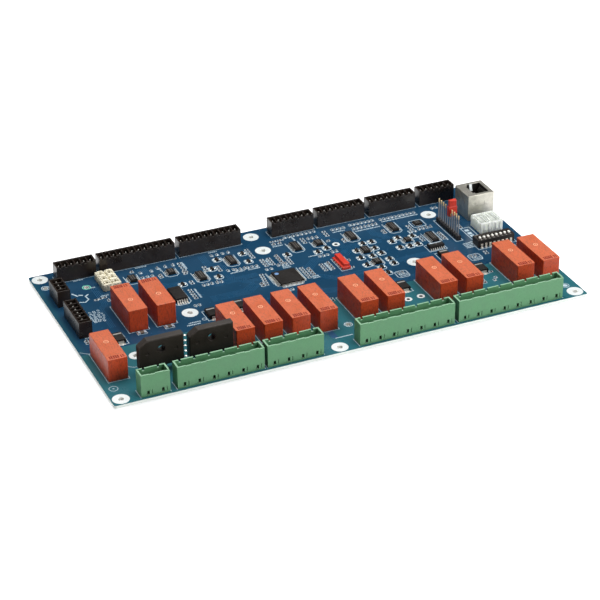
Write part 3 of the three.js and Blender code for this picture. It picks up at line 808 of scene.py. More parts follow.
def quad_leads(parts, node, leads_a_side, pitch, reach, shoulder):
    """Leads on all four sides of a square CAD chip."""
    low, high = place_box(node)
    middle = (low + high) / 2
    for step in spaced(leads_a_side, pitch):
        sides = ((high.x, middle.y + step, (1, 0)), (low.x, middle.y + step, (-1, 0)),
                 (middle.x + step, high.y, (0, 1)), (middle.x + step, low.y, (0, -1)))
        for x, y, out in sides:
            soldered_lead(parts, x, y, out, shoulder, reach, pitch * 0.44)


def end_chip(parts, x, y, upright, kind, length=1.5, width=0.75):
    """A two-ended chip between two printed lines: ceramic body, tinned end caps, and soldered pads."""
    height = 0.5 if kind == "resistors" else 0.85
    cap = length * 0.27
    half, side = length / 2, width / 2
    spans = ((-half + cap * 0.8, half - cap * 0.8, side * 0.94, 0, height * 0.97, kind),
             (-half, -half + cap, side, 0, height, "caps"), (half - cap, half, side, 0, height, "caps"),
             (-half - 0.45, -half + 0.1, side * 1.1, SUNK, 0.16, "pads"),
             (half - 0.1, half + 0.45, side * 1.1, SUNK, 0.16, "pads"))
    for start, end, reach, low, high, part in spans:
        if upright:
            parts[part].slab(x - reach, x + reach, y + start, y + end, low, high, 0.08)
        else:
            parts[part].slab(x + start, x + end, y - reach, y + reach, low, high, 0.08)
    for beside in (-side - 0.36, side + 0.36):
        if upright:
            path = [(x + beside, y - half - 0.4), (x + beside, y + half + 0.4)]
        else:
            path = [(x - half - 0.4, y + beside), (x + half + 0.4, y + beside)]
        ink_line(parts["ink"], path, 0.24)


def transistor(parts, x, y):
    """A three-lead chip inside a rounded printed ring."""
    chip_body(parts["bodies"], x, y, 1.4, 2.9, 1.0, lift=0.08, taper=0.1)
    for side, step in ((-1, -0.95), (-1, 0.95), (1, 0)):
        gull_wing(parts["leads"], x + side * 0.7, y + step, (side, 0), 0.55, 0.75)
        blob(parts["pads"], x + side * 1.35, y + step)
    ink_round_box(parts["ink"], x, y, 2.2, 1.3, 0.45)


def blob(pads, x, y, radius=0.55, height=0.42):
    """A bead of solder on a round pad."""
    profile = [(radius * 1.15, SUNK), (radius * 1.15, 0.05), (radius * 0.9, height * 0.45),
               (radius * 0.55, height * 0.85), (radius * 0.15, height)]
    pads.turned(profile, x, y, 12)


# Centre, width along X, length along Y, and leads on each long side.
OUTLINE_CHIPS = [
    (49.8, 112.6, 3.9, 6.2, 4), (70.9, 111.3, 3.9, 4.9, 4), (83.8, 100.4, 3.9, 8.6, 7),
    (104.8, 109.9, 3.9, 8.6, 7), (142.6, 109.7, 3.9, 8.6, 7), (155.4, 108.2, 3.9, 4.9, 4),
    (175.1, 108.2, 3.9, 8.6, 7), (200.4, 108.0, 3.9, 8.9, 7), (215.0, 88.8, 3.9, 9.9, 8),
    (175.3, 90.4, 3.9, 6.2, 4), (175.4, 76.2, 3.9, 4.9, 4), (201.2, 91.4, 3.3, 3.6, 3),
]

TRANSISTORS = [
    (169.6, 83.9), (171.0, 92.0), (176.3, 83.3), (182.1, 84.3), (181.2, 90.8), (177.5, 98.0),
    (182.8, 98.0), (169.3, 75.4), (175.4, 70.0), (183.3, 76.6), (183.3, 71.4), (193.0, 93.6),
    (194.2, 85.6), (197.6, 96.0), (204.7, 85.2), (206.0, 94.6), (199.8, 85.0), (72.0, 96.5),
    (98.2, 114.0), (113.4, 114.8), (113.2, 105.4), (92.2, 105.6), (92.4, 96.4), (175.8, 63.2),
    (157.4, 101.6), (151.4, 99.6), (135.0, 103.6),
]

# Rows of two-ended chips, by their kind and whether they stand along Y: first centre, step to the
# next, and how many.
CHIP_ROWS = {
    ("resistors", True): [
        (56, 117.6, 6, -0.4, 2), (55.4, 112.2, 2.7, 0, 3), (81.8, 91.4, 2.3, 0, 3),
        (97.4, 119.6, 3.2, 0, 4), (99.4, 100.6, 3, 0, 2), (110.2, 99.4, 2.5, 0, 3),
        (118.6, 93.2, 2.6, 0, 2), (120.4, 67.6, 2.2, 0.6, 2), (141.6, 122.2, 2.5, 0, 8),
        (150.2, 94.8, 2.4, 0, 3), (169, 119.6, 2.3, 0, 4), (180.2, 120.6, 2.3, 0, 7),
        (198.6, 119.6, 2.3, 0, 10), (231, 120, 2.3, 0, 2), (207.6, 99.6, 2.4, 0, 2),
        (180.6, 60.6, 2.3, 0, 2), (70, 73.2, 2.2, 0, 2), (223.4, 33, 1.8, 2.2, 2), (120.6, 73, 2.4, 0, 5),
    ],
    ("resistors", False): [
        (78.4, 119, 0, -2.6, 5), (77.6, 109.4, 0, -2.3, 2), (73.2, 89.6, 0, -2.3, 5),
        (77, 95.6, 0, 2.2, 2), (89, 109.6, 0, -2.3, 3), (95.6, 102.4, 0, 2.4, 3), (117, 118, 0, -2.4, 5),
        (120, 104, 0, -2.3, 4), (124, 104, 0, -2.3, 4), (133.4, 100.4, 0, -2.2, 4),
        (113.6, 89, -0.3, -2.2, 6), (135.8, 87, 0, -2.2, 6), (147, 86.2, 0, -2.2, 4),
        (133, 120.6, 3, 0, 3), (149.4, 117, 0, -2.4, 3), (163.8, 119.6, 0, -2.5, 3),
        (209, 106.6, 0, -2.4, 3), (209.2, 92.6, 0, -2.4, 3), (161.2, 76.8, 0, 0, 1),
        (233.8, 60.6, 0, 2.2, 2), (25.4, 100, 2.4, 0.4, 3), (136.8, 48.6, 0, 2.3, 2),
        (173.2, 52, 0, 0, 1), (225.8, 41.6, 0, 0, 1), (250.4, 60.2, 2.2, 2.4, 2),
    ],
    ("capacitors", True): [
        (66, 118.6, 4.4, 0, 3), (89.4, 91.2, 2.4, 0, 2), (103.6, 99.4, 2.4, 0, 3), (126, 95, 2.3, 0, 3),
        (152.6, 115.6, 2.6, 0, 3), (158.6, 96.4, 2.3, 0, 2), (180.2, 115.8, 2.3, 0, 7),
        (213, 100.6, 2.4, 0, 4), (224.4, 60.8, 2.3, 0, 2), (31.2, 97, 0, 0, 1),
    ],
    ("capacitors", False): [
        (64.6, 110.8, 0, -2.2, 2), (52, 120.3, 0, 0, 1), (129, 105, 0, -2.3, 5), (110, 80, 0, -2.2, 2),
        (139, 84.6, 0, -2.4, 4), (151, 86.2, 0, -2.2, 4), (133, 117.4, 3.4, 0, 2),
        (161.6, 108.8, 0, 0, 1), (170, 107, 0, -2.4, 2), (194, 107, 0, -2.4, 2), (220.8, 92, 0, -2.3, 4),
        (162.4, 84.4, 0, 0, 1), (7.2, 62.6, 0, -2.2, 2), (217.4, 32.6, 0, 2.4, 2),
        (234.6, 92.6, 0, 2.3, 2),
    ],
}

# Rows of printed bars: corner, width, rows, and whether they run along Y.
PRINTED_WORDS = [
    (20.6, 123.4, 5.4, 1, False), (55.2, 123.2, 6.0, 1, False), (97.0, 122.8, 5.0, 1, False),
    (58.6, 55.2, 6.6, 1, False), (60.2, 57.2, 6.2, 1, False), (53.6, 109.4, 5.0, 1, False),
    (66.4, 115.0, 4.0, 1, True),
    (79.6, 112.0, 7.6, 1, True), (75.4, 80.0, 10.0, 1, True), (99.4, 96.8, 8.0, 1, False),
    (109.4, 96.6, 7.0, 1, False), (121.6, 97.0, 6.0, 1, True), (127.2, 90.6, 4.0, 2, False),
    (115.6, 77.0, 12.0, 1, True), (137.2, 74.0, 4.0, 2, False), (149.0, 78.0, 9.0, 1, True),
    (131.4, 114.6, 6.0, 1, False), (144.8, 117.0, 5.0, 1, True), (168.0, 116.2, 7.0, 1, False),
    (198.0, 116.4, 22.0, 1, False), (180.0, 112.2, 15.0, 1, False), (206.0, 98.0, 3.0, 1, True),
    (221.4, 83.0, 8.0, 1, True), (226.8, 69.8, 5.6, 4, False), (224.0, 56.8, 5.0, 2, False),
    (180.0, 56.6, 5.0, 2, False), (144.6, 96.4, 5.0, 1, False), (161.2, 86.0, 3.0, 1, True),
    (26.2, 112.8, 3.0, 1, False), (28.6, 102.2, 4.0, 1, False),
    (131.6, 52.4, 4.0, 1, False), (7.4, 65.0, 4.0, 1, False), (239.0, 61.0, 3.0, 1, True),
]

# The pieces made of the small parts: what they hold, their name, finish and slot.
CHIP_PIECES = [
    ("ink", "printed_lines", INK, "board"), ("bodies", "chip_bodies", EPOXY, "epoxy"),
    ("leads", "chip_leads", LEAD, "tinned_metal"), ("pads", "solder_pads", SOLDER, "tinned_metal"),
    ("marks", "chip_markings", CHIP_MARK, "epoxy"), ("resistors", "chip_resistors", CERAMIC_BLACK, "epoxy"),
    ("capacitors", "chip_capacitors", CERAMIC_TAN, "cream_plastic"),
    ("caps", "chip_end_caps", CHIP_CAP, "tinned_metal"),
]


def add_printing_and_chips():
    draw = random.Random(SEED)
    parts = {key: Shape() for key, *_ in CHIP_PIECES}
    outline_parts(parts["ink"])
    for x, y, width, length, leads in OUTLINE_CHIPS:
        outline_chip(parts, draw, x, y, width, length, leads)
    flat_chip(parts, draw, 215.2, 107.0, side=4.4)
    for x, y in TRANSISTORS:
        transistor(parts, x, y)
    for (kind, upright), rows in CHIP_ROWS.items():
        for x, y, step_x, step_y, count in rows:
            for index in range(count):
                end_chip(parts, x + index * step_x, y + index * step_y, upright, kind)
    for x, y, width, rows, upright in PRINTED_WORDS:
        ink_words(parts["ink"], draw, x, y, width, rows, upright)
    loose_printing(parts["ink"])
    quad_leads(parts, "microcontroller", leads_a_side=25, pitch=0.5, reach=1.1, shoulder=0.85)
    controller_dot()
    tabbed_leads(parts)
    diode_leads(parts)
    cross_chip(parts, draw)
    gap_beads(parts)
    large_capacitors(parts)
    for key, name, finish, slot in CHIP_PIECES:
        make(name, parts[key], [finish], slot)


def flat_chip(parts, draw, x, y, side):
    """A flat square chip without outside leads, with its pads just showing."""
    top = chip_body(parts["bodies"], x, y, side, side, 0.9, lift=0.04, taper=0.04)
    wide, long = 0.13, 0.3
    for step in spaced(7, 0.5):
        for edge in (-side / 2 - 0.1, side / 2 + 0.1):
            for dx, dy, half_x, half_y in ((step, edge, wide, long), (edge, step, long, wide)):
                parts["pads"].block(x + dx - half_x, x + dx + half_x, y + dy - half_y, y + dy + half_y,
                                    SUNK, 0.09)
    chip_marks(parts["marks"], draw, x, y, side * 0.8, side * 0.7, top)
    ink_round_box(parts["ink"], x, y, 3.9, 1.2, 0.45)


def loose_printing(ink):
    """Lines that belong to no single part: zone borders, a plain emblem, and part frames."""
    ink_line(ink, [(0.6, PLANE_FRONT + 3), (4.2, PLANE_FRONT)])
    ink_line(ink, [(15.6, 33.4), (20.6, 29.4), (26, 29.4)])
    ink_line(ink, [(122, 13.6), (131.6, 13.6)], 0.6)
    ink_box(ink, 234.0, 239.2, 78.0, 91.4, 0.4)
    for y in (80.6, 83.6, 87.2):
        ink.block(235.0, 237.4, y, y + 2.2, SUNK, INK_TOP)
    for step in (0, 2.8, 5.6):
        ink_line(ink, [(15.6 + step, 111.4 - step), (17.8 + step, 107.6)], 0.9)
    ink_line(ink, [(16.4, 101.2), (19.6, 100.2), (22.0, 102.4), (21.4, 105.6)], 0.7)
    for x, y in ((182.0, 59.0), (226.0, 59.4)):
        ink_round_box(ink, x, y, 3.4, 1.6, 0.42)
    loop_emblem(ink, 20.0, 84.0)
    ink.ring(69.2, 58.6, 0.9, 1.3, SUNK, INK_TOP, 20)


def loop_emblem(ink, x, y):
    """A plain cluster of loose loops, in place of any mark."""
    draw = random.Random(SEED + 3)
    for row in range(-3, 4):
        half = 3 - abs(row) // 2
        for column in range(-half, half + 1, 2):
            place_x = x + column * 1.15 + draw.uniform(-0.3, 0.3)
            place_y = y + row * 1.75 + draw.uniform(-0.4, 0.4)
            radius = draw.uniform(0.55, 1.0)
            ink.ring(place_x, place_y, radius * 0.55, radius, SUNK, INK_TOP, 12)


def controller_dot():
    low, high = place_box("microcontroller")
    sticker = Shape()
    profile = [(1.15, high.z + SUNK), (1.15, high.z + 0.05), (1.0, high.z + 0.08)]
    sticker.turned(profile, low.x + 2.2, high.y - 2.6, 24)
    make("controller_dot", sticker, [BLUE_DOT], "epoxy")


def tabbed_leads(parts):
    """The regulator's wide rear tab and its leads at the front."""
    low, high = place_box("regulator")
    parts["leads"].slab(low.x + 0.5, high.x - 0.5, high.y - 0.6, high.y + 1.3, 0.03, 0.6, 0.08)
    parts["pads"].slab(low.x - 0.2, high.x + 0.2, high.y - 0.4, high.y + 1.8, SUNK, 0.08, 0.05)
    for step in spaced(5, CHIP_PITCH):
        soldered_lead(parts, (low.x + high.x) / 2 + step, low.y, (0, -1), 1.3, 2.0, 0.7)


def diode_leads(parts):
    """Wide strap leads at both ends of every power diode, and a pale band on its top: a cathode band, made
    pale as a painted highlight.
    """
    band = Shape()
    for low, high in boxes("power_diode"):
        middle = (low + high) / 2
        for y, way in ((low.y, -1), (high.y, 1)):
            gull_wing(parts["leads"], middle.x, y, (0, way), 1.3, 1.1, 3.0)
            lead_pad(parts["pads"], middle.x, y, (0, way), 1.3, 3.2)
        # A pale band on the top: a cathode band, made pale as a painted highlight.
        band.block(low.x + 0.7, high.x - 0.7, high.y - 2.1, high.y - 1.1, high.z + SUNK, high.z + MARK_TOP)
    make("diode_band_highlights", band, [PALE_MARK], "epoxy")


def gap_beads(parts):
    """A slanting row of soldered test points behind the gap between the rectifiers."""
    for index in range(5):
        blob(parts["pads"], 47.6 + index * 1.65, 28.9 + index * 4.75, 0.75, 0.5)


def large_capacitors(parts):
    """The two large chip capacitors in front of the rear relay pair."""
    for x in (35.4, 50.2):
        end_chip(parts, x, 58.9, False, "capacitors", length=4.4, width=2.3)


def cross_chip(parts, draw):
    """A taller chip that lies along X, with its leads at the front and the rear, and a pale metal strip on
    its top near the rear edge: a painted highlight.
    """
    x, y = 211.8, 78.2
    length, width, height = 9.0, 4.0, 2.2
    top = chip_body(parts["bodies"], x, y, length, width, height, taper=0.3)
    for step in spaced(7, CHIP_PITCH):
        for side in (-1, 1):
            soldered_lead(parts, x + step, y + side * width / 2, (0, side), 0.8, 0.8, 0.5)
    chip_marks(parts["marks"], draw, x, y, 3.0, 2.6, top)
    # A pale metal strip along the rear of the top: a painted highlight on that edge.
    parts["caps"].slab(x - 3.9, x + 3.7, y + 0.6, y + 1.3, top - 0.02, top + 0.12, 0.1)
    ink_box(parts["ink"], x - length / 2 - 0.7, x + length / 2 + 0.7, y - 3.8, y + 3.8, 0.36)


# ---- Copper tracks under the mask ----------------------------------------------------------------

TRACK_TOP = 0.02
VIAS = 150

# Groups of parallel tracks: the path of their middle, how many, and their width.
TRACK_BUNDLES = [
    ([(58, 122), (58, 104), (64, 98), (80, 98), (88, 90), (112, 90)], 6, 0.3),
    ([(92, 122), (92, 112), (98, 106), (98, 92), (104, 86), (112, 86)], 5, 0.3),
    ([(138, 84), (146, 92), (164, 92), (170, 98), (188, 98)], 6, 0.3),
    ([(138, 78), (148, 70), (168, 70), (190, 74), (208, 74)], 5, 0.3),
    ([(126, 66), (126, 58), (116, 54), (84, 54)], 6, 0.35),
    ([(132, 66), (136, 60), (160, 54), (212, 54)], 6, 0.35),
    ([(160, 122), (160, 114), (166, 108), (166, 96), (160, 90)], 4, 0.3),
    ([(188, 122), (188, 106), (192, 102), (192, 98)], 5, 0.3),
    ([(222, 104), (222, 98), (216, 98)], 4, 0.3),
    ([(80, 76), (100, 76), (108, 82)], 7, 0.3),
    ([(28, 112), (28, 94), (24, 90), (24, 70)], 4, 0.3),
    ([(240, 96), (240, 104), (236, 108), (236, 118)], 4, 0.3),
]


def bundle(tracks, path, count, pitch, width):
    """Parallel tracks that follow one path."""
    sides = steps_aside(path, 2.0)
    for shift in spaced(count, pitch):
        moved = [(x + side.x * shift, y + side.y * shift) for (x, y), side in zip(path, sides)]
        tracks.line(moved, width, SUNK, TRACK_TOP)


def add_tracks():
    tracks = Shape()
    for path, count, width in TRACK_BUNDLES:
        bundle(tracks, path, count, 0.9, width)
    for low, high in boxes("relay_case"):
        middle = (low + high) / 2
        in_front_row = low.y < 40 and low.x > 20
        if in_front_row:
            tracks.line([(middle.x, low.y + 2), (middle.x, 14)], 3.4, SUNK, TRACK_TOP)
            tracks.line([(middle.x + 1.6, high.y - 1), (middle.x + 1.6, high.y + 6)], 0.6, SUNK, TRACK_TOP)
    draw = random.Random(SEED + 1)
    for _ in range(VIAS):
        x = draw.uniform(14, LENGTH - 12)
        y = draw.uniform(53, 123)
        tracks.ring(x, y, 0.18, 0.42, SUNK, TRACK_TOP + 0.01, 12)
    make("masked_tracks", tracks, [TRACK], "board")


# ---- Contacts and leads of the large parts -------------------------------------------------------


def square_pin(pins, x, y, bottom, top, side):
    """A square pin with a blunt point at its upper end."""
    half, point = side / 2, side * 0.22
    profile = ((bottom, half), (top - side * 0.7, half), (top, point))
    pins.loft([rectangle(x - reach, x + reach, y - reach, y + reach, z) for z, reach in profile])


def joint_below(joints, x, y, radius=0.85, tip=0.32):
    """A soldered lead end under the board: pad, cone of solder and cut tip."""
    end = UNDERSIDE - LEAD_TIP
    profile = [(tip * 0.7, end), (tip, end + 0.12), (tip * 1.15, UNDERSIDE - 0.55),
               (radius * 0.6, UNDERSIDE - 0.22), (radius, UNDERSIDE - 0.04), (radius, UNDERSIDE - SUNK)]
    joints.turned(profile, x, y, 12)


# Rows of contacts along the headers: the start of their names, pitch, the first contact's distance
# from the end, axis of the row, bottom, top and side of the pins, and the solder's radius and tip.
CONTACT_ROWS = [
    ("power_header", 7.62, 3.65, "x", (3.1, 9.2, 1.0), (1.3, 0.5)),
    ("signal_header", 3.5, 2.1, "x", (2.3, 8.2, 0.8), (0.85, 0.32)),
    ("side_header", 3.5, 2.1, "y", (2.3, 8.2, 0.8), (0.85, 0.32)),
    ("cable_header", 2.5, 2.25, "y", None, (0.85, 0.32)),
]


def pole_places(low, high, pitch, margin, axis):
    """Where the contacts of a header stand on its middle line."""
    place = (low + high) / 2
    first = getattr(low, axis) + margin
    span = getattr(high, axis) - margin - first
    for index in range(round(span / pitch) + 1):
        setattr(place, axis, first + index * pitch)
        yield place.x, place.y


def add_contacts():
    power, signal, joints = Shape(), Shape(), Shape()
    for start, pitch, margin, axis, pin, solder in CONTACT_ROWS:
        pins = power if start == "power_header" else signal
        for low, high in boxes(start):
            for x, y in pole_places(low, high, pitch, margin, axis):
                joint_below(joints, x, y, *solder)
                if pin:
                    square_pin(pins, x, y, *pin)
    relay_joints(joints)
    other_joints(joints)
    make("power_header_contacts", power, [LEAD], "tinned_metal")
    make("signal_header_contacts", signal, [LEAD], "tinned_metal")
    make("solder_joints_below", joints, [SOLDER], "tinned_metal")


def relay_joints(joints):
    for low, high in boxes("relay_case"):
        for x in (low.x + 1.4, high.x - 1.4):
            for y in (low.y + 1.6, low.y + 6.6, low.y + 11.6, high.y - 1.8):
                joint_below(joints, x, y, 1.0, 0.4)


def dip_ways():
    """Where the switches of the DIP switch stand, from the left."""
    low, high = place_box("dip_switch_body")
    return [(low.x + high.x) / 2 + step for step in spaced(8, FINE_PITCH)]


def dip_feet():
    """Where the leads of the DIP switch go through the board."""
    low, high = place_box("dip_switch_body")
    return [(x, y) for x in dip_ways() for y in (low.y + 0.15, high.y - 0.15)]


def other_joints(joints):
    for low, high in boxes("bridge_rectifier"):
        middle = (low + high) / 2
        for step in spaced(4, 2 * FINE_PITCH):
            joint_below(joints, middle.x + step, middle.y, 1.3, 0.5)
    low, high = place_box("pin_strip")
    for pin in range(10):
        joint_below(joints, (low.x + high.x) / 2, low.y + (pin + 0.5) * FINE_PITCH)
    low, high = place_box("ethernet_jack_insert")
    for contact in range(8):
        joint_below(joints, high.x - 3.2 - contact % 2 * FINE_PITCH, low.y + 3.2 + contact * CHIP_PITCH)
    for x, y in dip_feet() + wire_mouths():
        joint_below(joints, x, y)


def wire_mouths():
    """Where the six mouths of the cream block stand."""
    low, high = place_box("wire_block")
    rows = [low.y + (row + 0.5) * (high.y - low.y) / 3 for row in range(3)]
    return [(x, y) for y in rows for x in (low.x + 2.4, high.x - 2.4)]


def add_dip_feet():
    """Narrow ends of the switch's leads, and solder round them on top of the board."""
    feet = Shape()
    for x, y in dip_feet():
        feet.turned([(0.95, SUNK), (0.95, 0.06), (0.55, 0.2), (0.3, 0.5)], x, y, 16)
    make("dip_switch_solder", feet, [SOLDER], "tinned_metal")


# ---- Relay tops ----------------------------------------------------------------------------------

REAR_PAIR = (1, 2)
RING_SHARE = 0.6
MARK_DEPTH = 2.7


def type_mark(bars, draw, x, y, top):
    """A row of thick moulded bars, then two columns of small squares."""
    low, high = top - 0.02, top + 0.05
    for _ in range(5):
        wide = draw.uniform(0.65, 1.0)
        waist = draw.uniform(0.35, 0.65) * MARK_DEPTH
        bars.slab(x, x + wide, y, y + waist - 0.12, low, high, 0.04)
        bars.slab(x + 0.1, x + wide, y + waist + 0.12, y + MARK_DEPTH, low, high, 0.04)
        x += wide + draw.uniform(0.1, 0.22)
    for side_x in (x + 0.5, x + 1.65):
        for side_y in (y, y + 1.3):
            bars.slab(side_x, side_x + 0.8, side_y, side_y + 0.85, low, high, 0.04)


def add_relay_details():
    """The moulding ring on each relay, coloured pale as a painted highlight, and a band of dark bars where
    a type mark would be.
    """
    draw = random.Random(SEED + 2)
    rings = Shape()
    bars = Shape()
    for index, (low, high) in enumerate(boxes("relay_case")):
        x = (low.x + high.x) / 2
        top = high.z
        turned_round = index in REAR_PAIR
        share = 1 - RING_SHARE if turned_round else RING_SHARE
        y = low.y + (high.y - low.y) * share
        rings.ring(x, y, 1.0, 1.3, top - 0.02, top + 0.1, 28)
        rings.turned([(0.3, top - 0.02), (0.25, top + 0.04), (0.1, top + 0.06)], x, y, 16)
        mark_y = high.y - 0.7 - MARK_DEPTH if turned_round else low.y + 0.7
        type_mark(bars, draw, low.x + 1.3, mark_y, top)
    make("relay_mould_rings", rings, [RELAY_RING_HIGHLIGHT], "relay_case")
    make("relay_type_bars", bars, [RELAY_MARK], "relay_case")


# ---- Ethernet jack -------------------------------------------------------------------------------


def add_jack_details():
    """The jack's trim, its latch tongue and its eight contact springs."""
    low, high = place_box("ethernet_jack_shell")
    add_jack_trim(low, high)
    port_left, port_right = low.x + 5.6, low.x + 13.8
    port_front, port_rear = low.y + 2.0, low.y + 13.7
    latch = Shape()
    tongue = [(0, 0.1), (0.3, 0.12), (0.6, -1.0), (1.5, -3.7), (1.3, -3.8), (0.4, -1.1), (0, -0.1)]
    latch.extrude(tongue, (port_left + 1.9, port_rear, high.z), (0, -1, 0), (0, 0, 1), (1.6, 0, 0))
    make("ethernet_jack_latch", latch, [PAD], "tinned_metal")
    springs = Shape()
    bends = ((0.1, 9.5), (0.7, 6), (2.0, 3.4), (0.5, 1.6))
    for step in spaced(8, 1.02):
        y = (port_front + port_rear) / 2 + step
        springs.tube([(port_right - back, y, high.z - down) for back, down in bends], 0.2, 8)
    make("ethernet_jack_springs", springs, [JACK_SPRING], "tinned_metal")


def add_jack_trim(low, high):
    """Folded flanges, grounding springs, pressings and legs of the jack's shell."""
    metal = Shape()
    flange_top = high.z - 0.25
    flange_low = flange_top - 2.4
    metal.slab(low.x + 4.0, high.x - 0.5, low.y - 0.14, low.y + 0.05, flange_low, flange_top, 0.08)
    metal.slab(low.x - 0.12, low.x + 0.05, low.y + 1.0, high.y - 1.0, flange_low, flange_top, 0.08)
    spring = ((0.0, -2.6), (0.35, -4.4), (0.12, -6.2), (0.0, -6.3), (0.0, -2.5))
    for y in (low.y + 4.2, low.y + 9.6):
        metal.extrude(spring, (low.x - 0.02, y, high.z), (-1, 0, 0), (0, 0, 1), (0, 1.8, 0))
    for x in (low.x + 4.2, low.x + 10.0):
        metal.extrude(spring, (x, low.y + 0.02, high.z - 0.8), (0, -1, 0), (0, 0, 1), (1.8, 0, 0))
    for z, height in ((high.z - 5.4, 0.085), (high.z - 10.6, 0.13)):
        dimple(metal, low.x + 2.6, low.y, z, height)
    for x in (low.x + 1.4, high.x - 2.6):
        for y in (low.y - 0.1, high.y - 0.2):
            metal.slab(x, x + 1.2, y, y + 0.3, UNDERSIDE - 0.9, 1.2, 0.1)
    make("ethernet_jack_trim", metal, [SHEET], "tinned_metal")


def dimple(metal, x, y, z, height):
    """A round pressing on the front of the shell."""
    rings = []
    for r, out in ((0.5, -0.02), (0.4, height), (0.1, height * 1.2)):
        rings.append([(x + r * math.cos(a), y - out, z + r * math.sin(a)) for a in angles(16)])
    metal.loft(rings)


# ---- Headers, jumper and blocks ------------------------------------------------------------------


def add_jumper_details():
    """Grip ridges on the parked jumper, and the clip that shows at its foot."""
    low, high = place_box("parked_jumper")
    ridges = Shape()
    for step in range(4):
        z = high.z - 0.7 - step * 0.75
        for y in (low.y + 0.2, high.y - 0.42):
            ridges.slab(low.x + 0.7, high.x - 0.7, y, y + 0.22, z, z + 0.35, 0.08)
    make("jumper_grip_ridges", ridges, [RED], "red_plastic", body="parked_jumper")
    clip = Shape()
    for share in (0.25, 0.75):
        x = low.x + (high.x - low.x) * share
        for y in (low.y - 0.05, high.y - 0.1):
            clip.slab(x - 0.6, x + 0.6, y, y + 0.15, low.z + 0.7, low.z + 1.9, 0.05)
    make("jumper_clip", clip, [GOLD], "tinned_metal", body="parked_jumper")


def add_wire_block_details():
    """Clamps, mouths and raised collars on the cream block, and its side and front ribs. The mouths are
    black blocks down in the openings: painted shade.
    """
    low, high = place_box("wire_block")
    clamps, collars, mouths = Shape(), Shape(), Shape()
    foot, rib_top = 0.1, high.z - 0.4
    for x, y in wire_mouths():
        clamps.slab(x - 0.3, x + 0.3, y + 0.5, y + 0.95, 1.9, 2.6, 0.1)
        # A black block down in each mouth: painted shade.
        mouths.block(x - 0.66, x + 0.66, y - 1.06, y + 1.06, 1.45, 1.95)
        for middle in (x - 1.5, x + 1.5):
            collars.slab(middle - 0.4, middle + 0.4, y - 1.6, y + 0.2, high.z - 0.02, high.z + 0.8, 0.15)
        collars.slab(x - 1.5, x + 1.5, y + 1.2, y + 2.0, high.z - 0.02, high.z + 0.6, 0.15)
    for y in sorted({y for x, y in wire_mouths()}):
        for rib in (y - 1.5, y, y + 1.5):
            collars.slab(low.x - 0.35, low.x + 0.1, rib - 0.35, rib + 0.35, foot, rib_top, 0.08)
    for step in range(6):
        x = low.x + 0.9 + step * 1.5
        collars.slab(x - 0.3, x + 0.3, low.y - 0.3, low.y + 0.1, foot, high.z - 0.6, 0.08)
    make("wire_block_clamps", clamps, [LEAD], "tinned_metal")
    make("wire_block_collars", collars, [CREAM], "cream_plastic")
    make("wire_block_mouth_shade", mouths, [EPOXY], "black_plastic")


def add_link_block_leads():
    """Leads that stand out at the foot of the red block."""
    low, high = place_box("link_block")
    links = Shape()
    for step in range(5):
        y = low.y + 1.6 + step * FINE_PITCH
        for x in (low.x - 0.35, high.x - 0.15):
            links.slab(x, x + 0.5, y - 0.3, y + 0.3, SUNK, 0.9, 0.1)
    make("link_block_leads", links, [LEAD], "tinned_metal")


def add_cable_header_ridges():
    """Low moulded ridges along the tops of the cable headers and down their fronts."""
    ridges = Shape()
    for low, high in boxes("cable_header"):
        for share in (0.3, 0.7):
            x = low.x + (high.x - low.x) * share
            ridges.slab(x - 0.3, x + 0.3, low.y + 1.2, high.y - 1.2, high.z - 1.02, high.z - 0.3, 0.12)
            ridges.slab(x - 0.25, x + 0.25, low.y - 0.18, low.y + 0.05, 0.3, high.z - 1.2, 0.08)
    make("cable_header_ridges", ridges, [NYLON], "white_plastic")


def add_dip_print():
    """A tick beside each switch on its front edge, and a bar at the on side."""
    low, high = place_box("dip_switch_body")
    ticks = Shape()
    bottom, top = high.z + SUNK, high.z + 0.015
    for x in dip_ways():
        ticks.block(x - 0.3, x + 0.3, DIP_FRONT + 0.35, DIP_FRONT + 1.1, bottom, top)
    ticks.block(low.x + 1.2, low.x + 3.2, DIP_REAR - 0.9, DIP_REAR - 0.45, bottom, top)
    make("dip_switch_ticks", ticks, [PALE_MARK], "epoxy")


# ---- Stage, light and camera ---------------------------------------------------------------------

CAMERA_AZIMUTH = -23.8
CAMERA_ELEVATION = 29.88
CAMERA_ROLL = -0.38
CAMERA_DISTANCE = 1.0439
CAMERA_LENS = 120.5
FILM_WIDTH = 36
AIM = Vector((-0.0077, -0.0100, 0.0))


def add_camera():
    azimuth, elevation = math.radians(CAMERA_AZIMUTH), math.radians(CAMERA_ELEVATION)
    level = math.cos(elevation)
    back = Vector((math.sin(azimuth) * level, -math.cos(azimuth) * level, math.sin(elevation)))
    camera = place_object("camera", bpy.data.cameras.new("camera"))
    camera.data.lens = CAMERA_LENS
    camera.data.sensor_width = FILM_WIDTH
    camera.data.clip_start = 0.05
    camera.location = AIM + back * CAMERA_DISTANCE
    turn = (-back).to_track_quat("-Z", "Y").to_matrix()
    roll = Matrix.Rotation(math.radians(CAMERA_ROLL), 3, "Z")
    camera.rotation_euler = (turn @ roll).to_euler()
    bpy.context.scene.camera = camera


FLOOR_REACH = 3.0
FLOOR_GLOW = 0.8
SEEN_SKY = 0.95


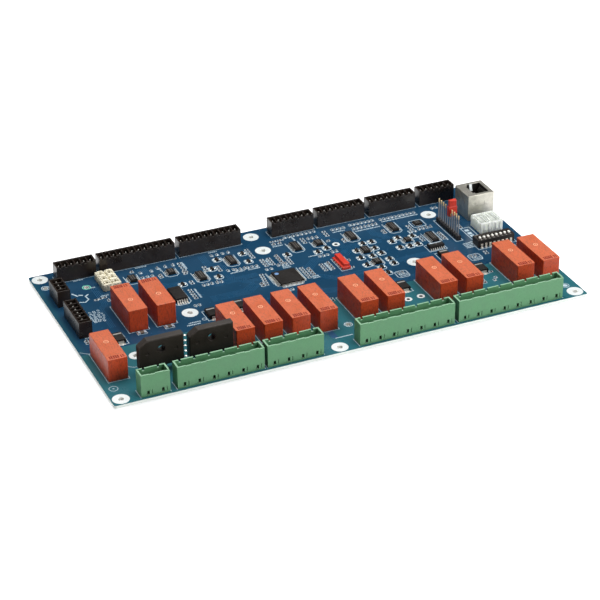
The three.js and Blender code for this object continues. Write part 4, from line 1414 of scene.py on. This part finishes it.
def add_floor():
    """A pale floor that glows in the camera and in glossy faces, as a lit backdrop does."""
    floor = Finish("pale_floor", (200, 200, 200), 0.9)
    floor.tone(floor.noise(60, detail=2), 0.3, tint(196, 196, 197))
    floor.inputs["Emission Color"].default_value = (1, 1, 1, 1)
    path = floor.node("ShaderNodeLightPath")
    seen = floor.math("MAXIMUM", path.outputs["Is Camera Ray"], path.outputs["Is Glossy Ray"])
    floor.join(floor.math("MULTIPLY", seen, FLOOR_GLOW), floor.inputs["Emission Strength"])
    mesh = bpy.data.meshes.new("floor")
    level = board_low.z - FLOOR_BELOW_BOARD * MM
    corners = rectangle(-FLOOR_REACH, FLOOR_REACH, -FLOOR_REACH, FLOOR_REACH, level)
    mesh.from_pydata(corners, [], [(0, 1, 2, 3)])
    mesh.materials.append(floor.material)
    place_object("floor", mesh)


def add_area_light(name, location, size, power, target=(0, 0, 0)):
    light = bpy.data.lights.new(name, "AREA")
    light.shape = "RECTANGLE"
    light.size, light.size_y = size
    light.energy = power
    lamp = place_object(name, light)
    lamp.location = location
    way = Vector(target) - Vector(location)
    lamp.rotation_euler = way.to_track_quat("-Z", "Y").to_euler()


def add_studio_world():
    """Dim grey surroundings, brighter overhead, that the camera sees as one even grey."""
    world = bpy.data.worlds.new("studio")
    world.use_nodes = True
    nodes, join = world.node_tree.nodes, world.node_tree.links.new
    place = nodes.new("ShaderNodeTexCoord")
    split = nodes.new("ShaderNodeSeparateXYZ")
    height = nodes.new("ShaderNodeMapRange")
    for key, value in (("From Min", 0.15), ("From Max", 0.9), ("To Min", 0.16), ("To Max", 0.95)):
        height.inputs[key].default_value = value
    join(place.outputs["Generated"], split.inputs[0])
    join(split.outputs["Z"], height.inputs["Value"])
    seen = nodes.new("ShaderNodeLightPath")
    strength = nodes.new("ShaderNodeMix")
    strength.inputs["B"].default_value = SEEN_SKY
    join(seen.outputs["Is Camera Ray"], strength.inputs["Factor"])
    join(height.outputs["Result"], strength.inputs["A"])
    join(strength.outputs["Result"], nodes["Background"].inputs["Strength"])
    bpy.context.scene.world = world


def add_light():
    add_studio_world()
    add_area_light("overhead", (0.1, 0.15, 1.1), (1.2, 0.9), 19)
    add_area_light("left_fill", (-1.0, -0.1, 0.3), (0.5, 0.4), 1.0)
    add_area_light("front_fill", (0.5, -1.0, 0.62), (0.8, 0.4), 6.0)
    add_area_light("low_front_fill", (1.0, -1.1, 0.34), (0.5, 0.12), 3.2)
    add_area_light("right_card", (0.32, -0.42, 0.16), (0.2, 0.2), 0.5, (0.12, 0.01, 0))
    bpy.context.scene.view_settings.view_transform = "Standard"


dress_frame()
add_tracks()
add_pads()
add_printing_and_chips()
add_contacts()
add_dip_feet()
add_dip_print()
add_cable_header_ridges()
add_relay_details()
add_jack_details()
add_jumper_details()
add_wire_block_details()
add_link_block_leads()
add_floor()
add_light()
add_camera()
